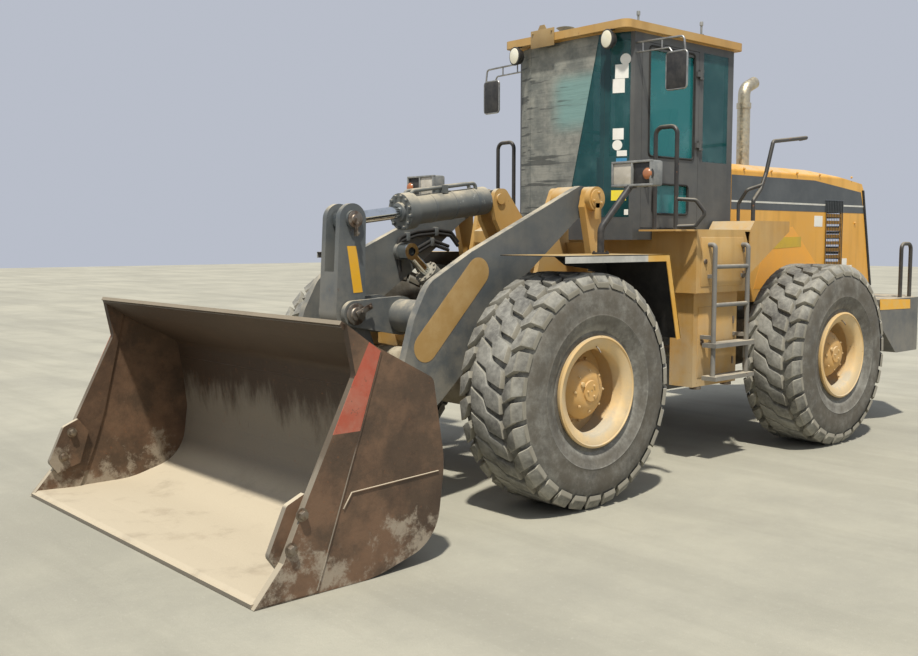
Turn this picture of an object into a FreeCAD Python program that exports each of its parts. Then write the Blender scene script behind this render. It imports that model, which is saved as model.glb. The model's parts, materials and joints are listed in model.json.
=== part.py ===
import FreeCAD, Part
import math
import os

# Wheel loader, articulated, with a Z-bar bucket linkage. Millimetres.
# Modelled about the articulation pin: +X forward, +Y to the left, +Z up, floor at z = 0.
# Every finished piece is then moved by FRAME_X, which puts the origin under the middle of the machine.

# Overall sizes
WHEEL_BASE = 3240.0
AXLE_X = WHEEL_BASE / 2
TRACK = 2220.0
WHEEL_Y = TRACK / 2
REAR_END_X = -3820.0
BUCKET_TIP_X = 4290.0
FRAME_X = -(REAR_END_X + BUCKET_TIP_X) / 2
FIT = 0.3

# Tyre and rim
TYRE_R = 785.0
TREAD_BASE_R = 748.0
TYRE_HALF_W = 280.0
BEAD_R = 330.0
RIM_FLANGE_R = 368.0
RIM_HALF_W = 235.0
RIM_WALL = 18.0
HUB_R = 195.0
HUB_OUT = 205.0
SPINDLE_R = 90.0
LUG_COUNT = 20
LUG_FLAT = TYRE_R - 3.4

# Linkage pins in the XZ plane, with the boom down and the bucket flat on the floor
BOOM_PIN = (955.0, 2080.0)
BUCKET_PIN = (2960.0, 400.0)
ROCKER_PIN = (2690.0, 1285.0)
ROCKER_TOP = (2662.0, 1917.0)
ROCKER_LOW = (2450.0, 690.0)
LINK_PIN = (3020.0, 680.0)
TILT_BASE = (1287.0, 2088.0)
LIFT_BASE = (750.0, 850.0)
LIFT_EYE = (1702.0, 1689.0)
BEAM = (2290.0, 1255.0)
PIN_R = 45.0
PIN_HEAD_R = 82.0
PIN_HEAD_T = 42.0
BUCKET_BOSS_R = 100.0

# Lateral layers, half the machine
WEB_IN = 360.0
WEB_OUT = 400.0
LIFT_Y = 500.0
LIFT_BARREL_R = 82.0
LIFT_ROD_R = 42.0
BOOM_IN = 600.0
BOOM_OUT = 660.0
TOWER_IN = 672.0
TOWER_OUT = 730.0
FENDER_IN = TOWER_OUT + 60
FENDER_OUT = 1380.0
WALL_X = 620.0
FORK_GAP = 55.0
FORK_OUT = 100.0
EYE_HALF = 45.0
EAR_IN = 110.0
EAR_OUT = 150.0

# Tilt cylinder
TILT_BARREL_R = 105.0
TILT_GLAND_R = 132.0
TILT_BARREL_LEN = 880.0
TILT_ROD_R = 45.0

# Steering cylinders
STEER_EYE = (480.0, 500.0)
STEER_BASE = (-720.0, 500.0)
STEER_Z = 850.0
STEER_BARREL_R = 48.0
STEER_ROD_R = 26.0
LUG_OUT = 90.0
LUG_T = 30.0

# Bucket
BUCKET_W = 3000.0
BUCKET_FLOOR = 3.0
BUCKET_WALL = 22.0
BUCKET_SIDE = 28.0

# Frames
RAIL_IN = 300.0
RAIL_OUT = 340.0
HINGE_R = 120.0
HINGE_PIN_R = 50.0
HINGE_EARS = (550.0, 1150.0)
HINGE_EAR_T = 45.0
AXLE_R = 135.0
PAD_TOP = TYRE_R + AXLE_R + 60
CRADLE_TOP = PAD_TOP + 60
CRADLE_Y = 330.0
RAIL_TOP = 1130.0

# Hood, cab and platforms
HOOD_Y = 550.0
HOOD_T = 14.0
HOOD_FRONT_X = -1110.0
HOOD_LOW = 1215.0
HOOD_TOP = 2460.0
HOOD_WINDOW_Y = 480.0
HOOD_WINDOW = (1380.0, 2230.0)
CAB_Y = 620.0
CAB_T = 40.0
CAB_FLOOR_Z = 1780.0
CAB_SILL_Z = 2430.0
CAB_TOP_Z = 3385.0
HEAD_ROOM = 475.0
CAB_REAR_X = -1000.0
CAB_CORNER_X = 345.0
CAB_FRONT_X = 440.0
CAB_FRONT_Y = 400.0
PILLAR = 60.0
GLASS_T = 8.0
ROOF_Z = CAB_TOP_Z + 10
ROOF_SLAB = 62.0
ROOF_TOP = ROOF_Z + ROOF_SLAB + 28
ROOF_FRONT_X = CAB_FRONT_X + 65
ROOF_REAR_X = CAB_REAR_X - 90
ROOF_Y = CAB_Y + 45
WINDSCREEN_LOW = CAB_SILL_Z - 230
WINDSCREEN_Y = 330.0
DOOR_FRONT_X = 250.0
DOOR_REAR_X = -500.0
DOOR_LOW = 1876.0
HINGE_AXIS = (DOOR_REAR_X - 4, CAB_Y + 16)
HINGE_HEIGHTS = (CAB_SILL_Z + 130, CAB_TOP_Z - 245)
TANK_IN = 770.0
TANK_OUT = 1050.0
TANK_FRONT_X = 100.0
TANK_REAR_X = -560.0
TANK_LOW = 620.0
BOX_LOW = 1366.0
BOX_TOP = 1846.0
BASE_LOW = 1600.0
BOX_IN = CAB_Y + FIT
DECK_IN = CAB_Y + 25
DECK_TOP = BOX_TOP + 14
LADDER_Y = 1110.0
WEIGHT_Y = 1200.0
TOW_PIN_R = 26.0
TOW_IN = 70.0
TOW_SLOT = (860.0, 960.0)
TOW_CAP = 1030.0
EYE_HOLE_R = 15.0
EYE_HOLE_DEPTH = 70.0
EYE_HOLE = (-3420.0, 900.0)


def v(x, y, z):
    return FreeCAD.Vector(x, y, z)


def outline(points):
    """Closed or open list of (a, b) or (a, b, r): a corner with r is rounded by a tangent arc."""
    edges = []
    n = len(points)
    starts = []
    for i, p in enumerate(points):
        a = points[i - 1]
        b = points[(i + 1) % n]
        r = p[2] if len(p) > 2 else 0
        here = v(p[0], p[1], 0)
        if not r:
            starts.append((here, None, here))
            continue
        to_a = v(a[0], a[1], 0).sub(here).normalize()
        to_b = v(b[0], b[1], 0).sub(here).normalize()
        half = to_a.getAngle(to_b) / 2
        run = r / math.tan(half)
        middle = to_a.add(to_b).normalize().multiply(r / math.sin(half) - r)
        first = here.add(v(to_a.x * run, to_a.y * run, 0))
        last = here.add(v(to_b.x * run, to_b.y * run, 0))
        starts.append((first, here.add(middle), last))
    for i, (first, mid, last) in enumerate(starts):
        if mid is not None:
            edges.append(Part.Arc(first, mid, last).toShape())
        following = starts[(i + 1) % n][0]
        if last.distanceToPoint(following) > 0.01:
            edges.append(Part.LineSegment(last, following).toShape())
    return Part.Wire(edges)


AXES = {
    "XZ": FreeCAD.Rotation(v(1, 0, 0), v(0, 0, 1), v(0, -1, 0), "XYZ"),
    "XY": FreeCAD.Rotation(),
    "YZ": FreeCAD.Rotation(v(0, 1, 0), v(0, 0, 1), v(1, 0, 0), "XYZ"),
}


def prism(points, plane, low, high):
    """Outline in a plane, extruded along the plane's normal from low to high."""
    face = Part.Face(outline(points))
    if plane == "XZ":
        body = face.extrude(v(0, 0, -(high - low)))
        body.Placement = FreeCAD.Placement(v(0, low, 0), AXES[plane])
    elif plane == "YZ":
        body = face.extrude(v(0, 0, high - low))
        body.Placement = FreeCAD.Placement(v(low, 0, 0), AXES[plane])
    else:
        body = face.extrude(v(0, 0, high - low))
        body.Placement = FreeCAD.Placement(v(0, 0, low), AXES[plane])
    return body


def box(x0, x1, y0, y1, z0, z1):
    return Part.makeBox(x1 - x0, y1 - y0, z1 - z0, v(x0, y0, z0))


def bar(a, b, r, r_end=None):
    """Round bar between two points, tapering when a second radius is given."""
    start = v(*a)
    run = v(*b).sub(start)
    if r_end is None:
        return Part.makeCylinder(r, run.Length, start, run)
    return Part.makeCone(r, r_end, run.Length, start, run)


def across(xz, y0, y1, r):
    return Part.makeCylinder(r, y1 - y0, v(xz[0], y0, xz[1]), v(0, 1, 0))


def upright(xy, z0, z1, r):
    return Part.makeCylinder(r, z1 - z0, v(xy[0], xy[1], z0))


def fuse(pieces):
    whole = pieces[0].multiFuse(pieces[1:]) if len(pieces) > 1 else pieces[0]
    return whole.removeSplitter()


def mirrored(shape):
    return shape.mirror(v(0, 0, 0), v(0, 1, 0))


def both(shape):
    return Part.makeCompound([shape, mirrored(shape)])


def toward(a, b, distance):
    run = math.hypot(b[0] - a[0], b[1] - a[1])
    return (a[0] + (b[0] - a[0]) * distance / run, a[1] + (b[1] - a[1]) * distance / run)


def strap(a, ra, b, rb, y0, y1):
    """Flat bar with round ends about two pins, its sides tangent to both."""
    run = math.hypot(b[0] - a[0], b[1] - a[1])
    base = math.atan2(b[1] - a[1], b[0] - a[0])
    lean = math.acos((ra - rb) / run)
    corners = []
    for centre, r, sign in ((a, ra, 1), (b, rb, 1), (b, rb, -1), (a, ra, -1)):
        angle = base + sign * lean
        corners.append((centre[0] + r * math.cos(angle), centre[1] + r * math.sin(angle)))
    middle = prism(corners, "XZ", y0, y1)
    return fuse([middle, across(a, y0, y1, ra), across(b, y0, y1, rb)])


def pipe(points, r, bend):
    """Bent tube through points in space, each inner corner an arc of the bend radius."""
    path = []
    pts = [v(*p) for p in points]
    last = pts[0]
    for i in range(1, len(pts) - 1):
        here = pts[i]
        to_a = pts[i - 1].sub(here).normalize()
        to_b = pts[i + 1].sub(here).normalize()
        half = to_a.getAngle(to_b) / 2
        run = bend / math.tan(half)
        first = here.add(v(to_a.x, to_a.y, to_a.z).multiply(run))
        final = here.add(v(to_b.x, to_b.y, to_b.z).multiply(run))
        middle = here.add(to_a.add(to_b).normalize().multiply(bend / math.sin(half) - bend))
        path.append(Part.LineSegment(last, first).toShape())
        path.append(Part.Arc(first, middle, final).toShape())
        last = final
    path.append(Part.LineSegment(last, pts[-1]).toShape())
    wire = Part.Wire(path)
    ring = Part.Wire(Part.Circle(pts[0], pts[1].sub(pts[0]), r).toShape())
    return wire.makePipeShell([ring], True, False)


def ring_profile(points):
    """Solid of revolution about the Y axis from (radius, y) points."""
    face = Part.Face(Part.makePolygon([v(r, y, 0) for r, y in points + points[:1]]))
    return face.revolve(v(0, 0, 0), v(0, 1, 0), 360)


# Wheels

def tyre():
    profile = [
        (BEAD_R, -215), (RIM_FLANGE_R + 30, -225), (520, -TYRE_HALF_W + 4), (600, -TYRE_HALF_W),
        (690, -262), (TREAD_BASE_R, -225), (TREAD_BASE_R, 225), (690, 262), (600, TYRE_HALF_W),
        (520, TYRE_HALF_W - 4), (RIM_FLANGE_R + 30, 225), (BEAD_R, 215),
    ]
    pieces = [ring_profile(profile)]
    # Lug plans: along the tread, across it; columns: (s, y) corners, phase in pitches
    pitch = 360.0 / LUG_COUNT
    plans = (
        ([(-58, 12), (50, 12), (72, 120), (-36, 120)], 0.0),
        ([(-38, 150), (66, 150), (40, 262), (-62, 262)], 0.25),
        ([(-50, -12), (58, -12), (36, -120), (-72, -120)], 0.5),
        ([(-66, -150), (38, -150), (62, -262), (-40, -262)], 0.75),
    )
    for plan, phase in plans:
        base = TREAD_BASE_R - 22
        if abs(plan[2][1]) > 200:
            base = TREAD_BASE_R - 70
        wire = Part.makePolygon([v(s, y, base) for s, y in plan + plan[:1]])
        lug = Part.Face(wire).extrude(v(0, 0, LUG_FLAT - base))
        for i in range(LUG_COUNT):
            turned = lug.copy()
            turned.rotate(v(0, 0, 0), v(0, 1, 0), (i + phase) * pitch)
            pieces.append(turned)
    return fuse(pieces)


def rim():
    """Drop-centre rim with its dish and planetary hub, outer face towards +Y."""
    flange = RIM_FLANGE_R
    wall = BEAD_R - FIT
    barrel = ring_profile([
        (wall - RIM_WALL, -RIM_HALF_W), (flange, -RIM_HALF_W),
        (flange, -RIM_HALF_W + 14), (wall, -RIM_HALF_W + 20),
        (wall, RIM_HALF_W - 20), (flange - 6, RIM_HALF_W - 8),
        (flange, RIM_HALF_W + 8), (flange + 4, RIM_HALF_W + 26),
        (flange - 10, RIM_HALF_W + 34), (flange - 24, RIM_HALF_W + 20),
        (wall - RIM_WALL, RIM_HALF_W - 24),
    ])
    dish = ring_profile([
        (SPINDLE_R + FIT, -10), (wall - RIM_WALL, -10), (wall - RIM_WALL, 18),
        (HUB_R, 24), (HUB_R, 120),
        (HUB_R - 22, 140), (150, HUB_OUT - 40), (120, HUB_OUT - 14),
        (70, HUB_OUT - 10), (66, HUB_OUT), (0, HUB_OUT),
        (0, 60), (SPINDLE_R + FIT, 60),
    ])
    return fuse([barrel, dish])


def place_wheel(shape, front, left):
    copy = shape.copy()
    if not left:
        copy = mirrored(copy)
    copy.translate(v(AXLE_X if front else -AXLE_X, WHEEL_Y if left else -WHEEL_Y, TYRE_R))
    return copy


def axle(front):
    """Drive axle: round arms tapering to the hubs, differential case, flange and spindles."""
    end = WHEEL_Y - 14
    arm = ring_profile([
        (0, -end), (SPINDLE_R + 45, -end), (SPINDLE_R + 45, -end + 60),
        (AXLE_R, -end + 200), (AXLE_R + 10, -420),
        (200, -240), (238, -90), (238, 90), (200, 240), (AXLE_R + 10, 420), (AXLE_R, end - 200),
        (SPINDLE_R + 45, end - 60), (SPINDLE_R + 45, end), (0, end),
    ])
    arm.translate(v(0, 0, TYRE_R))
    side = -1 if front else 1
    nose = bar((0, 0, TYRE_R), (side * 360, 0, TYRE_R + 25), 150, 85)
    spindles = across((0, TYRE_R), -WHEEL_Y - 55, WHEEL_Y + 55, SPINDLE_R)
    whole = [arm, nose, spindles]
    for y in (-1, 1):
        pad_y = y * (WEB_IN + WEB_OUT) / 2 if front else y * CRADLE_Y
        whole.append(box(-130, 130, pad_y - 60, pad_y + 60, TYRE_R + 60, PAD_TOP))
    shape = fuse(whole)
    shape.translate(v(AXLE_X if front else -AXLE_X, 0, 0))
    return shape


# Front frame

def front_frame():
    a = BOOM_PIN
    web = prism([
        (400, 470), (1180, 470, 80), (AXLE_X - 340, PAD_TOP, 60),
        (AXLE_X + 330, PAD_TOP), (2075, 1010), (2075, 1150, 40),
        (1560, 1290, 200), (1200, 1480, 200), (a[0] + 118, a[1] - 40),
        (a[0] + 60, a[1] + 88, 50), (a[0] - 60, a[1] + 88, 50),
        (a[0] - 105, a[1] - 20), (845, 1760, 60), (745, 1560, 60), (WALL_X, 1320, 60), (400, 1250),
    ], "XZ", WEB_IN, WEB_OUT)
    hub = across(a, WEB_OUT, BOOM_IN - FIT, 95)
    ear = prism([
        (a[0] + 88, a[1] - 60), (a[0] + 50, a[1] + 88, 50),
        (a[0] - 50, a[1] + 88, 50), (a[0] - 100, a[1] - 40),
        (850, 1760), (745, 1560, 60), (WALL_X, 1320), (880, 1320, 60),
    ], "XZ", TOWER_IN, TOWER_OUT)
    boss = across(a, TOWER_OUT, TOWER_OUT + 45, 88)
    wall = prism([
        (WALL_X, 700), (WALL_X + 36, 700), (WALL_X + 36, 1320), (790, 1560),
        (880, 1760), (845, 1760), (745, 1560),
        (WALL_X, 1320),
    ], "XZ", WEB_OUT, BOOM_IN)
    wall_out = prism([
        (WALL_X, 1240), (WALL_X + 36, 1240), (WALL_X + 36, 1320), (790, 1560),
        (880, 1760), (845, 1760), (745, 1560),
        (WALL_X, 1320),
    ], "XZ", BOOM_IN, TOWER_OUT)
    wall_out = wall_out.cut(box(840, 1400, BOOM_IN - 20, TOWER_IN, 1500, 2400))
    s = LIFT_BASE
    bracket = strap(s, 80, (WALL_X + 20, s[1]), 79.9, BOOM_IN, BOOM_IN + 40)
    lift_pin = across(s, WEB_OUT, BOOM_IN, PIN_R)
    pin = across(a, BOOM_IN - FIT, TOWER_IN, 60)
    side = fuse([web, hub, ear, boss, wall, wall_out, bracket, lift_pin, pin])
    pieces = [side, mirrored(side)]
    # Cross members between the webs, rear plate and the ears that carry the tilt cylinder
    pieces.append(box(400, 440, -WEB_OUT, WEB_OUT, 470, 1250))
    pieces.append(box(440, 1180, -WEB_IN, WEB_IN, 470, 505))
    pieces.append(bar((1880, -WEB_IN, 1080), (1880, WEB_IN, 1080), 70))
    pieces.append(prism([
        (900, 1500), (1000, 1480), (1130, 1760), (1130, 1850), (1010, 1900), (900, 1700),
    ], "XZ", -WEB_IN, WEB_IN))
    for y in (-FORK_OUT, FORK_GAP + 5):
        t = TILT_BASE
        pieces.append(prism([
            (1000, 1560), (1110, 1560), (1330, 1930),
            (t[0] + 78, t[1] - 20), (t[0] + 40, t[1] + 80, 60),
            (t[0] - 60, t[1] + 80, 60), (980, 1880),
        ], "XZ", y, y + FORK_OUT - FORK_GAP - 5))
    pieces.append(across(TILT_BASE, -FORK_OUT - 15, FORK_OUT + 15, 40))
    # Hinge ears at the articulation
    for z in HINGE_EARS:
        plan = [
            (400, -260), (60, -HINGE_R, 60), (-HINGE_R + 20, -HINGE_R, 100),
            (-HINGE_R + 20, HINGE_R, 100), (60, HINGE_R, 60), (400, 260),
        ]
        ear = prism(plan, "XY", z - HINGE_EAR_T / 2, z + HINGE_EAR_T / 2)
        pieces.append(ear.cut(upright((0, 0), z - 60, z + 60, HINGE_PIN_R + FIT)))
    # Steering cylinder lugs
    for y in (-1, 1):
        for z in (STEER_Z - LUG_OUT, STEER_Z + LUG_OUT - LUG_T):
            lug = prism([
                (420, WEB_OUT), (560, WEB_OUT), (STEER_EYE[0] + 48, STEER_EYE[1] + 48, 46),
                (STEER_EYE[0] - 48, STEER_EYE[1] + 48, 46),
            ], "XY", z, z + LUG_T)
            pieces.append(lug if y > 0 else mirrored(lug))
    return fuse(pieces)


def front_fenders():
    """Angular mudguards over the front wheels, each one bent plate with a front and a rear flap."""
    top = 1680.0
    t = 14.0
    skin = prism([
        (1960, top - 80), (1900, top), (880, top), (740, 1085),
        (740 + t, 1080), (892, top - t), (1894, top - t), (1950, top - 90),
    ], "XZ", FENDER_IN, FENDER_OUT)
    edge = prism([
        (1960, top - 80), (1900, top), (880, top), (740, 1085),
        (740 + 50, 1110), (915, top - 50), (1880, top - 50), (1930, top - 105),
    ], "XZ", FENDER_OUT - 12, FENDER_OUT)
    inner = prism([
        (1900, top), (880, top), (800, 1350), (1000, 1560), (1700, 1590),
    ], "XZ", FENDER_IN, FENDER_IN + 10)
    stay = box(900, 1000, TOWER_OUT, FENDER_IN, 1545, 1605)
    return both(fuse([skin, edge, inner, stay]))


def headlamps():
    post = pipe([(1245, 1060, 1692), (1245, 1060, 1900), (1010, 1120, 2240)], 22, 90)
    foot = upright((1245, 1060), 1680.3, 1692, 60)
    shell = box(900, 1030, 975, 1325, 2150, 2330)
    shell = shell.makeFillet(22, [e for e in shell.Edges if abs(e.Length - 130) < 1])
    shell = shell.cut(box(1018, 1040, 1000, 1160, 2170, 2310))
    lamp = upright((0, 0), 0, 26, 52)
    lamp.rotate(v(0, 0, 0), v(0, 1, 0), 90)
    lamp.translate(v(1028, 1245, 2240))
    lens = box(1018.5, 1026, 1001, 1159, 2171, 2309)
    return both(fuse([post, foot, shell, lamp, lens]))


# Boom, rocker, link and cylinders

def boom():
    a = BOOM_PIN
    h = BUCKET_PIN
    plate = prism([
        (a[0] - 60, a[1] + 84, 40), (1010, 2176, 30), (2098, 1699, 300), (2470, 1500, 220),
        (2594, 1273, 200), (2676, 1003, 200), (2904, 600, 60),
        (h[0] + 88, h[1] + 40), (h[0] + 70, h[1] - 76, 60), (h[0] - 70, h[1] - 76, 60),
        (2353, 733, 260), (2130, 930, 200), (2022, 1243, 260),
        (1590, 1523, 400), (1048, 1925), (a[0] - 90, a[1] - 60, 60),
    ], "XZ", BOOM_IN, BOOM_OUT)
    tip = across(h, BOOM_IN - 6, BOOM_OUT + 6, BUCKET_BOSS_R)
    side = fuse([plate, tip])
    side = side.cut(across(a, 0, 900, 60 + FIT))
    side = side.cut(across(h, 0, 900, PIN_R + FIT))
    eye = across(LIFT_EYE, BOOM_IN - 40, BOOM_IN, 70)
    side = side.fuse(eye)
    beam = across(BEAM, -BOOM_IN, BOOM_IN, 115)
    ears = []
    for y0 in (EAR_IN, -EAR_OUT):
        ear = strap(BEAM, 135, ROCKER_PIN, 88, y0, y0 + EAR_OUT - EAR_IN)
        ears.append(ear.cut(across(ROCKER_PIN, -200, 200, PIN_R + FIT)))
    return fuse([side, mirrored(side), beam] + ears)


def rocker():
    """Cast lever, forked at both ends: the rod eye sits in the upper fork, the link in the lower one."""
    p, c, q = ROCKER_TOP, ROCKER_PIN, ROCKER_LOW
    up = toward(c, p, 330)
    down = toward(c, q, 330)
    upper = strap(c, 118, p, 108, -FORK_OUT, FORK_OUT)
    lower = strap(c, 112, q, 78, -FORK_OUT, FORK_OUT)
    body = fuse([upper, lower])
    slot_up = strap(up, 125, (p[0] + p[0] - c[0], p[1] + 400), 330, -FORK_GAP, FORK_GAP)
    slot_down = strap(down, 120, (q[0] - 160, q[1] - 400), 340, -FORK_GAP, FORK_GAP)
    body = body.cut(slot_up).cut(slot_down)
    body = body.cut(across(c, -300, 300, PIN_R + FIT))
    for y in (-1, 1):
        for pin, r in ((p, 62), (q, 48)):
            inner, outer = sorted((y * FORK_OUT, y * (FORK_OUT + 22)))
            body = body.fuse(across(pin, inner, outer, r))
    return body.removeSplitter()


def link():
    bar_ = strap(LINK_PIN, 46, ROCKER_LOW, 60, -EYE_HALF, EYE_HALF)
    bar_ = bar_.cut(across(LINK_PIN, -90, 90, 34 + FIT))
    return bar_.cut(across(ROCKER_LOW, -90, 90, 36))


def cylinder_barrel(base, eye, length, r, gland_r, rod_r, y, rear_r, half):
    """Barrel with rear eye, gland flange and an open bore for the rod."""
    start = toward(base, eye, rear_r + 12)
    stop = toward(base, eye, length)
    gland = toward(base, eye, length - 75)
    head = toward(base, eye, length + 16)
    tube = bar((start[0], y, start[1]), (stop[0], y, stop[1]), r)
    flange = bar((gland[0], y, gland[1]), (head[0], y, head[1]), gland_r)
    lug = strap(base, rear_r, toward(base, eye, rear_r + 60), rear_r - 1, y - half, y + half)
    whole = fuse([tube, flange, lug])
    bottom = toward(base, eye, rear_r + 30)
    past = toward(base, eye, length + 60)
    return whole.cut(bar((bottom[0], y, bottom[1]), (past[0], y, past[1]), rod_r + FIT))


def cylinder_rod(base, eye, tail_from, r, eye_r, y, half, bore):
    tail = toward(base, eye, tail_from)
    neck = toward(eye, base, eye_r - 10)
    rod = bar((tail[0], y, tail[1]), (neck[0], y, neck[1]), r)
    ring = across(eye, y - half, y + half, eye_r)
    whole = fuse([rod, ring])
    return whole.cut(across(eye, y - half - 10, y + half + 10, bore))


def tilt_barrel():
    body = cylinder_barrel(
        TILT_BASE, ROCKER_TOP, TILT_BARREL_LEN, TILT_BARREL_R, TILT_GLAND_R, TILT_ROD_R, 0, 72, EYE_HALF,
    )
    body = body.cut(across(TILT_BASE, -90, 90, 40 + FIT))
    a = toward(TILT_BASE, ROCKER_TOP, 190)
    b = toward(TILT_BASE, ROCKER_TOP, 820)
    lift = TILT_BARREL_R + 34
    pipes = []
    for y in (-36, 36):
        run = [
            (a[0], y, a[1] + 60), (a[0] + 15, y, a[1] + lift),
            (b[0], y, b[1] + lift), (b[0] + 10, y, b[1] + 70),
        ]
        pipes.append(pipe(run, 14, 30))
    clamp = box(a[0] + 300, a[0] + 350, -60, 60, a[1] + TILT_BARREL_R - 50, a[1] + TILT_BARREL_R + 8)
    return fuse([body, clamp] + pipes)


def tilt_rod():
    return cylinder_rod(TILT_BASE, ROCKER_TOP, 560, TILT_ROD_R, 68, 0, EYE_HALF, 36)


def lift_barrels():
    one = cylinder_barrel(LIFT_BASE, LIFT_EYE, 1010, LIFT_BARREL_R, 98, LIFT_ROD_R, LIFT_Y, 72, 50)
    return both(one.cut(across(LIFT_BASE, 300, 700, PIN_R + FIT)))


def lift_rods():
    return both(cylinder_rod(LIFT_BASE, LIFT_EYE, 150, LIFT_ROD_R, 66, LIFT_Y, 50, 34))


def flat_cylinder(make):
    """A steering cylinder is drawn upright like the others, then laid flat at its own height."""
    base = (STEER_BASE[0], 0.0)
    eye = (STEER_EYE[0], 0.0)
    shape = make(base, eye)
    shape.rotate(v(0, 0, 0), v(1, 0, 0), 90)
    shape.translate(v(0, STEER_BASE[1], STEER_Z))
    return shape


def steer_barrel():
    def make(base, eye):
        body = cylinder_barrel(base, eye, 745, STEER_BARREL_R, 54, STEER_ROD_R, 0, 44, 30)
        return body.cut(across(base, -60, 60, 26 + FIT))
    return flat_cylinder(make)


def steer_rod():
    return flat_cylinder(lambda base, eye: cylinder_rod(base, eye, 395, STEER_ROD_R, 40, 0, 30, 20))


def bucket_hinge_pins():
    """Pin with a thick round head on each side of the bucket's ears."""
    inner = BOOM_IN - 55
    outer = BOOM_OUT + 55
    pin = across(BUCKET_PIN, inner - FIT, outer + FIT, PIN_R)
    inner_head = across(BUCKET_PIN, inner - FIT - PIN_HEAD_T, inner - FIT, PIN_HEAD_R)
    outer_head = across(BUCKET_PIN, outer + FIT, outer + FIT + PIN_HEAD_T, PIN_HEAD_R)
    return both(fuse([pin, inner_head, outer_head]))


def rocker_pivot_pin():
    return across(ROCKER_PIN, -EAR_OUT - 12, EAR_OUT + 12, PIN_R)


def link_pivot_pin():
    return across(LINK_PIN, -FORK_OUT - 8, FORK_OUT + 8, 34)


def offset_path(points, t):
    """The same open path moved t to its left, with corners mitred; a radius keeps its centre."""
    moved = []
    for i, p in enumerate(points):
        sides = []
        for a, b in ((i - 1, i), (i, i + 1)):
            if a < 0 or b >= len(points):
                continue
            dx = points[b][0] - points[a][0]
            dy = points[b][1] - points[a][1]
            run = math.hypot(dx, dy)
            sides.append((-dy / run, dx / run))
        if len(sides) == 1:
            nx, ny = sides[0]
            moved.append((p[0] + nx * t, p[1] + ny * t, 0))
            continue
        (ax, ay), (bx, by) = sides
        scale = t / (1 + ax * bx + ay * by)
        r = p[2] - t if p[2] else 0
        moved.append((p[0] + (ax + bx) * scale, p[1] + (ay + by) * scale, max(r, 0)))
    return moved


# Bucket back from the lip over the floor, heel and back to the upper edge: x, z, corner radius
BUCKET_PATH = [
    (BUCKET_TIP_X, BUCKET_FLOOR, 0), (3560, BUCKET_FLOOR, 700), (3130, 120, 260), (3072, 560, 500),
    (3150, 1030, 60), (3574, 1248, 300), (BUCKET_TIP_X - 561, 1356, 0),
]


def bucket():
    half = BUCKET_W / 2
    inner = offset_path(BUCKET_PATH, -BUCKET_WALL)
    shell = prism(BUCKET_PATH + inner[::-1], "XZ", -half + BUCKET_SIDE, half - BUCKET_SIDE)
    tip = BUCKET_TIP_X
    floor = BUCKET_FLOOR
    # Front edge of the cheek, from the lip down to the floor
    throat = (tip - 618, 1092, 60)
    middle = (tip - 317, 501)
    toe = (tip - 169, 197)
    cheek = prism(BUCKET_PATH + [throat, middle, toe], "XZ", half - BUCKET_SIDE, half)
    strip = prism([
        BUCKET_PATH[-1][:2], throat, middle, toe, (tip, floor), (tip - 330, floor),
        (tip - 446, 280), (tip - 534, 549), (tip - 700, 1252),
    ], "XZ", half - BUCKET_SIDE - 14, half - BUCKET_SIDE)
    cutter = prism([
        (tip - 325, 515), (tip - 220, 470, 30), (tip - 110, 230, 30),
        (tip - 169, 150), (tip - 330, 200), (tip - 400, 420),
    ], "XZ", half - BUCKET_SIDE - 48, half - BUCKET_SIDE - 14)
    edge = prism([
        (tip - 300, floor + BUCKET_WALL), (tip - 40, floor + BUCKET_WALL + 14),
        (tip, floor + 6), (tip, floor), (tip - 300, floor),
    ], "XZ", -half + BUCKET_SIDE, half - BUCKET_SIDE)
    lip = prism([
        (tip - 670, 1292), (tip - 552, 1372), (tip - 538, 1352), (tip - 650, 1276),
    ], "XZ", -half + BUCKET_SIDE, half - BUCKET_SIDE)
    pieces = [shell, edge, lip]
    for part in (cheek, strip, cutter):
        pieces += [part, mirrored(part)]
    h = BUCKET_PIN
    for y0 in (BOOM_IN - 55, BOOM_OUT + 12):
        hinge = prism([
            (h[0] - 60, h[1] + 62, 50), (h[0] + 60, h[1] + 260), (3078, 640), (3110, 640),
            (3110, 280), (3170, 200), (3150, 160),
            (h[0] - 60, h[1] - 62, 50),
        ], "XZ", y0, y0 + 43)
        hinge = hinge.cut(across(h, 0, 900, PIN_R + FIT))
        pieces += [hinge, mirrored(hinge)]
    e = LINK_PIN
    for y0 in (EYE_HALF + 10, -EYE_HALF - 55):
        ear = prism([
            (e[0] - 46, e[1] + 46, 44), (e[0] + 20, e[1] + 110), (3110, 860), (3140, 860),
            (3100, 480), (e[0] + 10, e[1] - 110), (e[0] - 46, e[1] - 46, 44),
        ], "XZ", y0, y0 + 45)
        pieces.append(ear.cut(across(e, -200, 200, 34 + FIT)))
    return fuse(pieces)


# Rear frame and what it carries

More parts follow.
